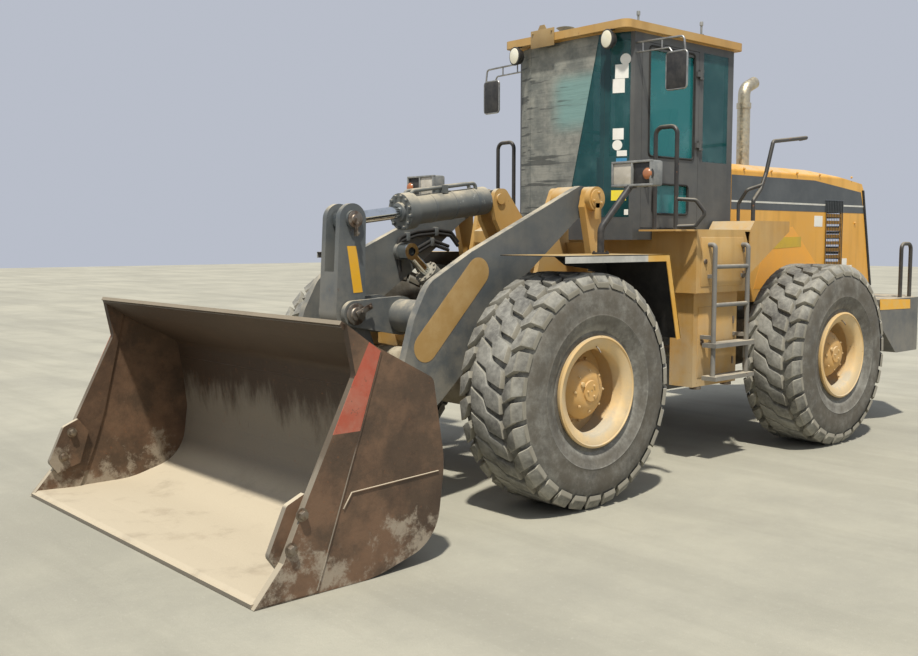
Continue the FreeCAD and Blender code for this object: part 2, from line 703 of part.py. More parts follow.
def rear_frame():
    rail = prism([
        (-400, 480), (-400, 1250), (-1150, 1250, 100),
        (-1500, RAIL_TOP + 60), (-3560, RAIL_TOP + 60), (-3560, 700),
        (-2450, 700, 60), (-2100, CRADLE_TOP, 60), (-1140, CRADLE_TOP, 60), (-900, 480, 60),
    ], "XZ", RAIL_IN, RAIL_OUT)
    pieces = [rail, mirrored(rail)]
    pieces.append(box(-440, -400, -RAIL_OUT, RAIL_OUT, 480, 1250))
    pieces.append(box(-3600, -3560, -RAIL_OUT, RAIL_OUT, 640, 1130))
    pieces.append(box(-900, -440, -RAIL_IN, RAIL_IN, 480, 510))
    for x in (-1340, -1930, -2900):
        pieces.append(box(x - 30, x + 30, -RAIL_IN, RAIL_IN, CRADLE_TOP + 10, RAIL_TOP))
    gap = 2 * FIT
    t = 40.0
    for z in HINGE_EARS:
        for low in (z - HINGE_EAR_T / 2 - gap / 2 - t, z + HINGE_EAR_T / 2 + gap / 2):
            plan = [
                (-400, -240), (-60, -HINGE_R, 60), (HINGE_R - 20, -HINGE_R, 100),
                (HINGE_R - 20, HINGE_R, 100), (-60, HINGE_R, 60), (-400, 240),
            ]
            pieces.append(prism(plan, "XY", low, low + t))
        pieces.append(upright((0, 0), z - 100, z + 90, HINGE_PIN_R))
    for z in (STEER_Z - LUG_OUT, STEER_Z + LUG_OUT - LUG_T):
        lug = prism([
            (STEER_BASE[0] - 70, RAIL_OUT), (STEER_BASE[0] + 70, RAIL_OUT),
            (STEER_BASE[0] + 46, STEER_BASE[1] + 46, 44),
            (STEER_BASE[0] - 46, STEER_BASE[1] + 46, 44),
        ], "XY", z, z + LUG_T)
        pieces += [lug, mirrored(lug)]
    stub = upright(STEER_BASE, STEER_Z - LUG_OUT - 5, STEER_Z + LUG_OUT + 5, 26)
    pieces += [stub, mirrored(stub)]
    # Outriggers that carry the platforms and the cab
    for x in (-960, -480):
        beam = box(x - 40, x + 40, RAIL_IN, TANK_IN, 1180, 1240)
        post = box(x - 40, x + 40, RAIL_IN, RAIL_IN + 90, 1240, BASE_LOW)
        pieces += [beam, mirrored(beam), post, mirrored(post)]
    # Ledges that the front of the hood stands on
    ledge = box(-1690, -1590, RAIL_IN, HOOD_Y, HOOD_LOW - 40, HOOD_LOW)
    pieces += [ledge, mirrored(ledge)]
    return fuse(pieces)


def axle_cradle():
    """Rocking cradle between the rear axle's pads and the rails, open round the differential case."""
    x = -AXLE_X
    pieces = []
    for y in (-1, 1):
        pieces.append(box(x - 290, x + 290, y * CRADLE_Y - 60, y * CRADLE_Y + 60, PAD_TOP + 30, CRADLE_TOP))
        pieces.append(box(x - 130, x + 130, y * CRADLE_Y - 60, y * CRADLE_Y + 60, PAD_TOP, PAD_TOP + 30))
    for end in (-290, 245):
        pieces.append(box(x + end, x + end + 45, -CRADLE_Y, CRADLE_Y, PAD_TOP + 30, CRADLE_TOP))
    return fuse(pieces)


def engine_block():
    return box(-2950, -1560, -290, 290, RAIL_TOP, 1900)


def hood_form(inset):
    """Side outline and cross-section met: flat roof, chamfered shoulders, falling away at the back."""
    i = inset
    slope = 0.235
    side = prism([
        (HOOD_FRONT_X + 2 * i, HOOD_LOW - 4 * i), (HOOD_FRONT_X + 2 * i, HOOD_TOP - i),
        (-2535, HOOD_TOP - i, 200),
        (-3480 + i, HOOD_TOP - 110 - i), (-3520 + i, 2290 - i),
        (-3520 + i - (2290 - HOOD_LOW + 4 * i) * slope * 0.93, HOOD_LOW - 4 * i),
    ], "XZ", -HOOD_Y + i, HOOD_Y - i)
    across_form = prism([
        (-HOOD_Y + i, HOOD_LOW - 4 * i), (HOOD_Y - i, HOOD_LOW - 4 * i),
        (HOOD_Y - i, HOOD_TOP - 56 - i, 30),
        (HOOD_Y - 120, HOOD_TOP - i), (-HOOD_Y + 120, HOOD_TOP - i),
        (-HOOD_Y + i, HOOD_TOP - 56 - i, 30),
    ], "YZ", -3900, HOOD_FRONT_X + 50)
    return side.common(across_form)


def hood():
    """Engine cover of bent sheet, open below and in front, with slots in its sides and a rear opening."""
    shell = hood_form(0).cut(hood_form(HOOD_T))
    shell = shell.cut(box(-3900, -3450, -HOOD_WINDOW_Y, HOOD_WINDOW_Y, HOOD_WINDOW[0], HOOD_WINDOW[1]))
    vents = []
    for i in range(9):
        z = 1560 + i * 68
        vents.append(box(-3060, -2790, -HOOD_Y - 5, HOOD_Y + 5, z, z + 34))
    return shell.cut(Part.makeCompound(vents))


def radiator_grille():
    """Frame and cross bars in the rear opening of the hood."""
    lean = 0.2186
    low, high = HOOD_WINDOW
    foot = -3520 - (2290 - low) * lean + 22
    count = 15
    step = (high - low - 40) / count
    bars = []
    for i in range(count):
        z = low + 30 + i * step
        x = foot + (z - low) * lean
        bars.append(box(x, x + 22, -HOOD_WINDOW_Y + 20, HOOD_WINDOW_Y - 20, z, z + 26))
    for y in (-HOOD_WINDOW_Y + FIT, -20, HOOD_WINDOW_Y - 40 - FIT):
        bars.append(prism([
            (foot - 6, low + FIT), (foot + 30, low + FIT),
            (foot + 30 + (high - low) * lean, high - FIT),
            (foot - 6 + (high - low) * lean, high - FIT),
        ], "XZ", y, y + 40))
    return fuse(bars)


def counterweight():
    """Heavy casting across the tail: stepped plan, undercut below, with the tow slot and its pin bore."""
    side = [
        (-2640, HOOD_LOW), (REAR_END_X, HOOD_LOW, 60), (REAR_END_X, 980, 80),
        (-3480, 690, 60), (-2980, 690, 80), (-2640, 980),
    ]
    whole = prism(side, "XZ", -WEIGHT_Y, WEIGHT_Y)
    plan = prism([
        (-2600, RAIL_OUT + FIT), (-3600 - FIT, RAIL_OUT + FIT),
        (-3600 - FIT, -RAIL_OUT - FIT), (-2600, -RAIL_OUT - FIT),
    ], "XY", 600, 1300)
    whole = whole.cut(plan)
    corner = prism([
        (REAR_END_X - 10, 860), (REAR_END_X - 10, WEIGHT_Y + 10), (-3420, WEIGHT_Y + 10),
    ], "XY", 500, 1400)
    whole = whole.cut(corner).cut(mirrored(corner))
    x = REAR_END_X + TOW_IN
    slot = box(REAR_END_X - 10, x + 70, -130, 130, *TOW_SLOT)
    recess = box(REAR_END_X - 10, x + 60, -100, 100, TOW_CAP, TOW_CAP + 110)
    bore = upright((x, 0), 650, TOW_CAP + 5, TOW_PIN_R + FIT)
    # Blind holes in the top face for lifting eyes
    for side in (-1, 1):
        at = (EYE_HOLE[0], side * EYE_HOLE[1])
        bore = bore.fuse(upright(at, HOOD_LOW - EYE_HOLE_DEPTH, HOOD_LOW + 10, EYE_HOLE_R))
    return whole.cut(slot).cut(recess).cut(bore)


def tow_pin():
    """Loose pin dropped through the tail slot, its cap in a recess."""
    x = REAR_END_X + TOW_IN
    pin = upright((x, 0), TOW_SLOT[0] - 60, TOW_CAP, TOW_PIN_R)
    cap = upright((x, 0), TOW_CAP, TOW_CAP + 25, 46)
    return fuse([pin, cap])


def cab_base():
    """Bearers and front apron that the cab stands on, between the two lockers."""
    pieces = [box(TANK_FRONT_X - 15, TANK_FRONT_X, -CAB_Y, CAB_Y, BOX_LOW, CAB_FLOOR_Z)]
    pieces.append(box(CAB_REAR_X, TANK_FRONT_X - 15, -CAB_Y, CAB_Y, BASE_LOW, BASE_LOW + 40))
    for y in (-1, 1):
        y0, y1 = sorted((y * (CAB_Y - 60), y * CAB_Y))
        pieces.append(box(CAB_REAR_X, TANK_FRONT_X - 15, y0, y1, BASE_LOW + 40, CAB_FLOOR_Z))
    return fuse(pieces)


def side_boxes():
    """Upper locker and lower tank under the cab platform on each side."""
    upper = prism([
        (TANK_FRONT_X, BOX_LOW), (TANK_FRONT_X, BOX_TOP), (-560, BOX_TOP),
        (-620, 1720), (-620, BOX_LOW),
    ], "XZ", BOX_IN, TANK_OUT)
    lower = box(TANK_REAR_X, TANK_FRONT_X - 60, TANK_IN, TANK_OUT - 60, TANK_LOW, BOX_LOW)
    return both(fuse([upper, lower]))


def platforms():
    """Walkway plate beside the cab, raised lid behind it and the guard in front of the rear wheel."""
    deck = prism([
        (-640, DECK_IN), (300, DECK_IN), (300, 1000), (TANK_FRONT_X, TANK_OUT), (-640, TANK_OUT),
    ], "XY", BOX_TOP, DECK_TOP)
    lid = prism([
        (-640, DECK_TOP), (-700, 1935), (-1240, 1935), (-1240, 1850),
        (-1226, 1850), (-1226, 1921), (-706, 1921),
        (-660, BOX_TOP), (-640, BOX_TOP),
    ], "XZ", DECK_IN, TANK_OUT)
    side = prism([
        (-640, BOX_TOP), (-700, 1935), (-1240, 1935), (-1240, 1850), (-640, 1500),
    ], "XZ", TANK_OUT - 12, TANK_OUT)
    guard = prism([
        (-638, 1440), (-624, 1440), (-624, 1700), (-900, 1921), (-914, 1921), (-638, 1706),
    ], "XZ", DECK_IN, TANK_OUT - 12)
    return both(fuse([deck, lid, side, guard]))


def ladders():
    """Hung ladder each side: two bent tubes hooked over at the top, two round rungs and two wide steps."""
    pieces = []
    y = LADDER_Y
    for x in (-60, -520):
        pieces.append(pipe([(x, TANK_OUT, 1740), (x, y, 1740), (x, y, 700)], 19, 26))
    for z in (1570, 1270):
        pieces.append(bar((-520, y, z), (-60, y, z), 17))
    for z in (960, 700):
        pieces.append(box(-560, -20, y - 75, y + 55, z - 22, z + 12))
    for x in (-60, -520):
        pieces.append(box(x - 16, x + 16, TANK_OUT, y, 1480, 1510))
        pieces.append(box(x - 16, x + 16, TANK_OUT - 60, y, 1000, 1030))
    return both(fuse(pieces))


def handrails():
    """Rails of bent tube: entry rail with its loop, tall rear rail and the guard on the tail."""
    x = 270
    leg = 975
    entry = pipe([(x, 775, DECK_TOP), (x, 775, 2640), (x, leg, 2640), (x, leg, DECK_TOP)], 17, 60)
    loop = pipe([
        (x, leg, 2090), (x - 80, leg + 123, 2080), (x - 120, leg + 185, 1980),
        (x - 80, leg + 123, 1885), (x, leg, 1880),
    ], 15, 34)
    tall = pipe([
        (-720, 1020, 1935), (-720, 1020, 2100), (-830, 1020, 2200),
        (-900, 1020, 2330), (-1000, 1020, 2600),
        (-1540, 1020, 2665), (-1560, 940, 2660),
    ], 17, 36)
    brace = pipe([(-840, 1020, 2232), (-720, 960, 2190), (-720, 880, 2080), (-720, 880, 1935)], 14, 34)
    tail = pipe([
        (-3200, 1120, HOOD_LOW), (-3200, 1120, 1740), (-3400, 1120, 1740), (-3400, 1120, HOOD_LOW),
    ], 19, 60)
    return both(Part.makeCompound([fuse([entry, loop]), fuse([tall, brace]), tail]))


def cab_plan(inset, front_inset=None):
    f = inset if front_inset is None else front_inset
    return [
        (CAB_REAR_X + inset, -CAB_Y + inset), (CAB_CORNER_X - inset * 0.4, -CAB_Y + inset),
        (CAB_FRONT_X - f, -CAB_FRONT_Y + f * 0.3),
        (CAB_FRONT_X - f, CAB_FRONT_Y - f * 0.3), (CAB_CORNER_X - inset * 0.4, CAB_Y - inset),
        (CAB_REAR_X + inset, CAB_Y - inset),
    ]


def cab_tub():
    """Floor and the walls below the windows."""
    walls = prism(cab_plan(0), "XY", CAB_FLOOR_Z, CAB_SILL_Z)
    walls = walls.cut(prism(cab_plan(CAB_T), "XY", CAB_FLOOR_Z + 50, CAB_SILL_Z + 10))
    for y0, y1 in ((CAB_Y - CAB_T - 5, CAB_Y + 5), (-CAB_Y - 5, -CAB_Y + CAB_T + 5)):
        walls = walls.cut(box(DOOR_REAR_X - 4, DOOR_FRONT_X + 4, y0, y1, DOOR_LOW - 6, CAB_SILL_Z + 10))
    y = WINDSCREEN_Y
    return walls.cut(box(CAB_FRONT_X - CAB_T - 5, CAB_FRONT_X + 5, -y, y, WINDSCREEN_LOW, CAB_SILL_Z + 20))


def cab_posts():
    """Pillars at the corners and door edges, with the roof ring."""
    outer = prism(cab_plan(0), "XY", CAB_TOP_Z - 60, CAB_TOP_Z)
    ring = outer.cut(prism(cab_plan(PILLAR), "XY", CAB_TOP_Z - 70, CAB_TOP_Z + 10))
    posts = [ring]
    s = CAB_SILL_Z
    t = CAB_TOP_Z - 60
    for x0, x1 in ((CAB_REAR_X, CAB_REAR_X + PILLAR + 20), (DOOR_REAR_X - 4 - PILLAR, DOOR_REAR_X - 4)):
        posts += [box(x0, x1, CAB_Y - CAB_T, CAB_Y, s, t), box(x0, x1, -CAB_Y, -CAB_Y + CAB_T, s, t)]
    for y in (-1, 1):
        posts.append(prism([
            (DOOR_FRONT_X + 4, y * (CAB_Y - CAB_T)), (DOOR_FRONT_X + 4, y * CAB_Y),
            (CAB_CORNER_X, y * CAB_Y),
            (CAB_CORNER_X + 13, y * (CAB_Y - 30)), (CAB_CORNER_X - 8, y * (CAB_Y - CAB_T)),
        ], "XY", s, t))
        posts.append(prism([
            (CAB_FRONT_X - CAB_T, y * (CAB_FRONT_Y - 40)), (CAB_FRONT_X, y * (CAB_FRONT_Y - 40)),
            (CAB_FRONT_X, y * CAB_FRONT_Y), (CAB_FRONT_X - CAB_T, y * (CAB_FRONT_Y + 30)),
        ], "XY", s, t))
    hx, hy = HINGE_AXIS
    for z in HINGE_HEIGHTS:
        for z0 in (z - 40, z + 20 + FIT):
            knuckle = upright((hx, hy), z0, z0 + 20, 14).fuse(box(hx - 36, hx, CAB_Y, hy + 6, z0, z0 + 20))
            posts += [knuckle, mirrored(knuckle)]
        pin = upright((hx, hy), z - 40, z + 40, 6)
        posts += [pin, mirrored(pin)]
    return fuse(posts)


def cab_glass():
    """Windscreen, corner panes, rear side panes and back window."""
    s = CAB_SILL_Z
    t = CAB_TOP_Z - 60
    pieces = []
    x = CAB_FRONT_X - 24
    pieces.append(box(x, x + GLASS_T, -CAB_FRONT_Y + 44, CAB_FRONT_Y - 44, s + 0.3, t - 0.3).fuse(
        box(x, x + GLASS_T, 1 - WINDSCREEN_Y, WINDSCREEN_Y - 1, WINDSCREEN_LOW + FIT, s + FIT),
    ).removeSplitter())
    for y in (-1, 1):
        pieces.append(prism([
            (CAB_FRONT_X - 25, y * (CAB_FRONT_Y + 33)), (CAB_CORNER_X + 6, y * (CAB_Y - 39)),
            (CAB_CORNER_X - 1, y * (CAB_Y - 42)), (CAB_FRONT_X - 32, y * (CAB_FRONT_Y + 30)),
        ], "XY", s, t))
        y0, y1 = sorted((y * (CAB_Y - 24), y * (CAB_Y - 24 + GLASS_T)))
        x0 = CAB_REAR_X + PILLAR + 20 + FIT
        x1 = DOOR_REAR_X - 4 - PILLAR - FIT
        pieces.append(box(x0, x1, y0, y1, s + FIT, t - FIT))
    rear_y = CAB_Y - CAB_T - FIT
    pieces.append(box(CAB_REAR_X + 20, CAB_REAR_X + 20 + GLASS_T, -rear_y, rear_y, s + FIT, t - FIT))
    return Part.makeCompound(pieces)


def cab_roof():
    """Pressed roof: overhanging slab with a drip edge and a slightly crowned top."""
    slab = box(ROOF_REAR_X, ROOF_FRONT_X, -ROOF_Y, ROOF_Y, ROOF_Z, ROOF_Z + ROOF_SLAB)
    slab = slab.makeFillet(60, [e for e in slab.Edges if abs(e.BoundBox.ZLength - ROOF_SLAB) < 1])
    rings = []
    for inset, z in ((30, ROOF_Z + ROOF_SLAB), (185, ROOF_TOP)):
        x0, x1, y = ROOF_REAR_X + inset, ROOF_FRONT_X - inset, ROOF_Y - inset
        rings.append(Part.makePolygon([v(x0, -y, z), v(x1, -y, z), v(x1, y, z), v(x0, y, z), v(x0, -y, z)]))
    crown = Part.makeLoft(rings, True, True)
    seat = prism(cab_plan(2), "XY", CAB_TOP_Z, ROOF_Z)
    return fuse([slab, crown, seat])


DOOR_TOP = CAB_TOP_Z - 64
DOOR_PANES = (
    (DOOR_REAR_X + 60, DOOR_FRONT_X - 90, CAB_SILL_Z + 10, DOOR_TOP - 50),
    (DOOR_REAR_X + 130, DOOR_FRONT_X - 150, DOOR_LOW + 110, DOOR_LOW + 350),
)


def door_panel(side):
    """Door leaf with its two window openings, pull handle and hinge knuckles."""
    y1 = CAB_Y
    y0 = CAB_Y - CAB_T
    panel = box(DOOR_REAR_X, DOOR_FRONT_X, y0, y1, DOOR_LOW, DOOR_TOP)
    for x0, x1, z0, z1 in DOOR_PANES:
        panel = panel.cut(box(x0, x1, y0 - 5, y1 + 5, z0, z1))
    x = DOOR_FRONT_X - 50
    low = 2200.0
    high = 2360.0
    handle = pipe([(x, y1 - 4, low), (x, y1 + 40, low), (x, y1 + 40, high), (x, y1 - 4, high)], 9, 14)
    pieces = [panel, handle]
    ax, ay = HINGE_AXIS
    for z in HINGE_HEIGHTS:
        knuckle = upright((ax, ay), z - 20 + FIT, z + 20, 14)
        leaf = box(ax + 6, ax + 50, y1, ay + 6, z - 20 + FIT, z + 20)
        pieces.append(knuckle.fuse(leaf).cut(upright((ax, ay), z - 60, z + 60, 6 + FIT)))
    whole = fuse(pieces)
    return whole if side > 0 else mirrored(whole)


def door_glass(side):
    y0 = CAB_Y - 24
    panes = [box(x0, x1, y0, y0 + GLASS_T, z0, z1) for x0, x1, z0, z1 in DOOR_PANES]
    whole = Part.makeCompound(panes)
    return whole if side > 0 else mirrored(whole)


def seat():
    floor = CAB_FLOOR_Z + 50
    stand = box(-620, -260, -170, 170, floor, floor + 330)
    cushion = box(-680, -180, -250, 250, floor + 330, floor + 450)
    back = prism([
        (-680, floor + 450), (-560, floor + 450), (-640, CAB_TOP_Z - HEAD_ROOM), (-740, CAB_TOP_Z - HEAD_ROOM),
    ], "XZ", -240, 240)
    return fuse([stand, cushion, back])


def steering_console():
    floor = CAB_FLOOR_Z + 50
    column = prism([(150, floor), (330, floor), (210, floor + 660), (130, floor + 640)], "XZ", -90, 90)
    wheel = Part.makeTorus(205, 15, v(70, 0, floor + 760), v(-0.45, 0, 1))
    spoke = bar((165, 0, floor + 610), (70, 0, floor + 765), 24)
    cross = bar((70, -205, floor + 760), (70, 205, floor + 760), 12)
    return fuse([column, wheel, spoke, cross])


def exhaust():
    x = -2130.0
    stack = bar((x, 0, HOOD_TOP), (x, 0, 3060), 62)
    sleeve = bar((x, 0, 3060), (x, 0, 3110), 70)
    tail = pipe([(x, 0, 3110), (x, 0, 3250), (x - 170, 0, 3325)], 58, 100)
    tail = tail.cut(pipe([(x, 0, 3160), (x, 0, 3250), (x - 200, 0, 3338)], 50, 100))
    foot = bar((x, 0, HOOD_TOP), (x, 0, HOOD_TOP + 30), 92)
    return fuse([stack, sleeve, foot, tail])


def mirrors():
    x = CAB_CORNER_X - 20
    y = 1000.0
    top = CAB_TOP_Z - 95
    arm = pipe([(x, CAB_Y + FIT, top), (x, y, top), (x, y, top - 110)], 9, 40)
    stay = bar((x, CAB_Y + FIT, top - 55), (x, y, top - 55), 7)
    head = box(x - 12, x + 16, y - 95, y + 95, top - 385, top - 105)
    head = head.makeFillet(12, [e for e in head.Edges if abs(e.Length - 28) < 1])
    return both(fuse([arm, stay, head]))


def roof_lamps():
    pieces = []
    z = ROOF_Z - 79
    for x, y, turn in ((ROOF_FRONT_X + 15, 500, 1), (ROOF_REAR_X + 30, 430, -1)):
        lamp = fuse([
            bar((x - turn * 45, y, z), (x + turn * 30, y, z), 62, 70),
            bar((x - turn * 30, y, z), (x - turn * 30, y, ROOF_Z - FIT), 10),
        ])
        pieces += [lamp, mirrored(lamp)]
    plate = box(ROOF_FRONT_X + FIT, ROOF_FRONT_X + 7, -341, -79, ROOF_Z - 42, ROOF_Z + 105)
    return Part.makeCompound(pieces + [plate])


def build():
    wheel_tyre = tyre()
    wheel_rim = rim()
    nodes = {
        "front_frame": front_frame(),
        "front_axle": axle(True),
        "front_fenders": front_fenders(),
        "headlamps": headlamps(),
        "boom": boom(),
        "rocker": rocker(),
        "bucket_link": link(),
        "bucket": bucket(),
        "bucket_hinge_pins": bucket_hinge_pins(),
        "rocker_pivot_pin": rocker_pivot_pin(),
        "link_pivot_pin": link_pivot_pin(),
        "tilt_cylinder_barrel": tilt_barrel(),
        "tilt_cylinder_rod": tilt_rod(),
        "lift_cylinder_barrels": lift_barrels(),
        "lift_cylinder_rods": lift_rods(),
        "steer_barrel_left": steer_barrel(),
        "steer_barrel_right": mirrored(steer_barrel()),
        "steer_rod_left": steer_rod(),
        "steer_rod_right": mirrored(steer_rod()),
        "rear_frame": rear_frame(),
        "rear_axle": axle(False),
        "axle_cradle": axle_cradle(),
        "engine_block": engine_block(),
        "hood": hood(),
        "radiator_grille": radiator_grille(),
        "counterweight": Part.makeCompound([counterweight(), tow_pin()]),
        "cab_base": cab_base(),
        "side_boxes": side_boxes(),
        "platforms": platforms(),
        "ladders": ladders(),
        "handrails": handrails(),
        "cab_tub": cab_tub(),
        "cab_posts": cab_posts(),
        "cab_glass": cab_glass(),
        "cab_roof": cab_roof(),
        "door_left": door_panel(1),
        "door_left_glass": door_glass(1),
        "door_right": door_panel(-1),
        "door_right_glass": door_glass(-1),
        "seat": seat(),
        "steering_console": steering_console(),
        "exhaust": exhaust(),
        "mirrors": mirrors(),
        "roof_lamps": roof_lamps(),
    }
    corners = (
        (True, True, "front_left"), (True, False, "front_right"),
        (False, True, "rear_left"), (False, False, "rear_right"),
    )
    for front, left, name in corners:
        nodes["tyre_" + name] = place_wheel(wheel_tyre, front, left)
        nodes["rim_" + name] = place_wheel(wheel_rim, front, left)
    return nodes


def main():
    os.makedirs("parts", exist_ok=True)
    for name, shape in build().items():
        moved = shape.copy()
        moved.translate(v(FRAME_X, 0, 0))
        moved.exportStep("parts/" + name + ".step")
        print(name, len(moved.Solids), round(moved.Volume / 1e9, 4), moved.isValid())


main()
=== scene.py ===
# %% [markdown]
# # A wheel loader after years of work in a quarry
# The frame holds every rigid piece at its true size. This lesson dresses it: paint that has
# faded and taken dust, rubber, glass, and the small pieces that are too fine for the frame.

# %% Load the frame
import json
import math

import bmesh
import bpy
from mathutils import Matrix, Vector


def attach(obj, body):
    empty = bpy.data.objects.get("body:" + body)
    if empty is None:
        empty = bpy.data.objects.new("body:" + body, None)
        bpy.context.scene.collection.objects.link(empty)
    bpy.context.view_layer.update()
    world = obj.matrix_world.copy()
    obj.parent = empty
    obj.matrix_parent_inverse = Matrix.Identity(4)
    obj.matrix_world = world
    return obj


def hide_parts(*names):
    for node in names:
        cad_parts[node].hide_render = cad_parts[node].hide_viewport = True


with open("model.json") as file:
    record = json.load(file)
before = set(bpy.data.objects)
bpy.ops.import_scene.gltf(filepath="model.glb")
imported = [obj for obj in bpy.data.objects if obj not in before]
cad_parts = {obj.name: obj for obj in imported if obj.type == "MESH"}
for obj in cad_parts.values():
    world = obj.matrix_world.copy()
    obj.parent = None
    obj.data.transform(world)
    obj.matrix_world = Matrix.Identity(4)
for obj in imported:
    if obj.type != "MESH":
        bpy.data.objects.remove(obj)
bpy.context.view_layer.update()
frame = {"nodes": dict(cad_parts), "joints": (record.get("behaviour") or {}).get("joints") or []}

nodes = frame["nodes"]

# %% [markdown]
# ## Places
# A loader is laid out from its centre pin, where the two halves turn. The steering joint in the
# frame says where that pin stands, so each place below is measured from it: forward, left and up.

# %% Places measured from the centre pin
joints = {j["name"]: j for j in frame["joints"]}
PIN_X = joints["steer"]["pos_m"][0]


def at(forward, left, up):
    return Vector((PIN_X + forward, left, up))


def joint_point(name, left=0.0):
    x, _, z = joints[name]["pos_m"]
    return Vector((x, left, z))


print("centre pin at", PIN_X)

# %% [markdown]
# ## Camera
# The camera stands at eye height off the left front corner. Its place and lens were found by
# matching the wheels, the cab and the bucket's corners, so it comes first and stays.

# %% Camera
CAMERA_PLACE = (6.5314, 5.737, 1.7855)
CAMERA_YAW = math.radians(228.089)
CAMERA_PITCH = math.radians(-4.945)
LENS_MM = 40.31

camera_data = bpy.data.cameras.new("camera")
camera_data.lens = LENS_MM
camera_data.sensor_width = 36.0
camera = bpy.data.objects.new("camera", camera_data)
bpy.context.scene.collection.objects.link(camera)
camera.location = CAMERA_PLACE
looking = Vector((
    math.cos(CAMERA_YAW) * math.cos(CAMERA_PITCH),
    math.sin(CAMERA_YAW) * math.cos(CAMERA_PITCH),
    math.sin(CAMERA_PITCH),
))
camera.rotation_euler = looking.to_track_quat("-Z", "Y").to_euler()
bpy.context.scene.camera = camera
bpy.context.scene.view_settings.view_transform = "Standard"

# %% [markdown]
# ## Finishes
# One small class builds each material from noise in Object coordinates. Such noise has no seams and
# needs no unwrapping, and it stays with a piece when a joint moves it.

# %% A helper that wires up a material
class Finish:
    def __init__(self, name, roughness=0.5, metallic=0.0):
        self.material = bpy.data.materials.new(name)
        self.material.use_nodes = True
        self.tree = self.material.node_tree
        self.shader = self.tree.nodes["Principled BSDF"]
        self.shader.inputs["Roughness"].default_value = roughness
        self.shader.inputs["Metallic"].default_value = metallic
        self.coords = self.tree.nodes.new("ShaderNodeTexCoord")

    def feed(self, socket, value):
        """Links a socket to a value that varies, or sets a plain number or colour on it."""
        if isinstance(value, bpy.types.NodeSocket):
            self.tree.links.new(value, socket)
        else:
            socket.default_value = value

    def noise(self, scale, detail=5.0, roughness=0.6, stretch=(1, 1, 1), shift=(0, 0, 0)):
        mapping = self.tree.nodes.new("ShaderNodeMapping")
        mapping.inputs["Scale"].default_value = stretch
        mapping.inputs["Location"].default_value = shift
        self.feed(mapping.inputs["Vector"], self.coords.outputs["Object"])
        noise = self.tree.nodes.new("ShaderNodeTexNoise")
        noise.inputs["Scale"].default_value = scale
        noise.inputs["Detail"].default_value = detail
        noise.inputs["Roughness"].default_value = roughness
        self.feed(noise.inputs["Vector"], mapping.outputs["Vector"])
        return noise.outputs[0]

    def step(self, value, low, high, to_low=0.0, to_high=1.0):
        """Turns a span of one value into a span of another, easing at both ends."""
        node = self.tree.nodes.new("ShaderNodeMapRange")
        node.interpolation_type = "SMOOTHSTEP"
        self.feed(node.inputs["Value"], value)
        for name, number in (
            ("From Min", low), ("From Max", high), ("To Min", to_low), ("To Max", to_high),
        ):
            node.inputs[name].default_value = number
        return node.outputs["Result"]

    def math(self, operation, a, b=0.0):
        node = self.tree.nodes.new("ShaderNodeMath")
        node.operation = operation
        self.feed(node.inputs[0], a)
        self.feed(node.inputs[1], b)
        return node.outputs[0]

    def part(self, output, axis):
        node = self.tree.nodes.new("ShaderNodeSeparateXYZ")
        self.feed(node.inputs[0], self.coords.outputs[output])
        return node.outputs[axis]

    def mix(self, share, a, b):
        node = self.tree.nodes.new("ShaderNodeMix")
        node.data_type = "RGBA"
        self.feed(node.inputs[0], share)
        for socket, value in ((node.inputs[6], a), (node.inputs[7], b)):
            self.feed(socket, value if isinstance(value, bpy.types.NodeSocket) else (*value, 1.0))
        return node.outputs[2]

    def bump(self, height, strength, distance):
        node = self.tree.nodes.new("ShaderNodeBump")
        node.inputs["Strength"].default_value = strength
        node.inputs["Distance"].default_value = distance
        self.feed(node.inputs["Height"], height)
        self.feed(self.shader.inputs["Normal"], node.outputs["Normal"])

    def colour(self, value):
        self.feed(self.shader.inputs["Base Color"], value)

    def roughness(self, value):
        self.feed(self.shader.inputs["Roughness"], value)


# %% [markdown]
# ## Worn paint
# Paint on such a machine tells its life. It fades in patches, takes pale dust on every ledge and low
# down, runs in streaks after rain, and chips to rust. One function makes all the painted finishes, so
# the dust is the same dust everywhere.

# %% Worn paint
DUST = (0.44, 0.39, 0.29)
RUST = (0.13, 0.055, 0.025)


def worn_paint(name, colour, faded, dust=0.5, low_dust=0.4, chips=0.3, roughness=0.5, chip_colour=RUST):
    finish = Finish(name)
    fade = finish.step(finish.noise(1.1, 6), 0.35, 0.7)
    paint = finish.mix(fade, colour, faded)
    streaks = finish.step(finish.noise(7.0, 3, stretch=(1, 1, 0.09)), 0.5, 0.75, 0.0, 0.35)
    darker = tuple(c * 0.55 for c in colour)
    paint = finish.mix(streaks, paint, darker)
    ledges = finish.step(finish.part("Normal", "Z"), 0.25, 0.95, 0.0, dust)
    low = finish.step(finish.part("Object", "Z"), 0.2, 2.0, low_dust, 0.0)
    patches = finish.step(finish.noise(3.3, 8, 0.7), 0.36, 0.62, 0.25, 1.25)
    settled = finish.math("MULTIPLY", finish.math("ADD", finish.math("ADD", ledges, low), 0.12 * dust), patches)
    settled = finish.math("MINIMUM", settled, 1.0)
    dusty = finish.mix(settled, paint, DUST)
    spots = finish.step(finish.noise(21.0, 9, 0.75), 0.66 - 0.08 * chips, 0.70 - 0.08 * chips)
    areas = finish.step(finish.noise(2.1, 3, shift=(3, 1, 2)), 0.42, 0.62)
    worn = finish.math("MULTIPLY", finish.math("MULTIPLY", spots, areas), min(1.0, 2.0 * chips))
    finish.colour(finish.mix(worn, dusty, chip_colour))
    finish.roughness(finish.step(settled, 0.0, 0.8, roughness, 0.95))
    grain = finish.math("SUBTRACT", finish.noise(90.0, 3), finish.math("MULTIPLY", worn, 1.5))
    finish.bump(grain, 0.25, 0.002)
    return finish.material


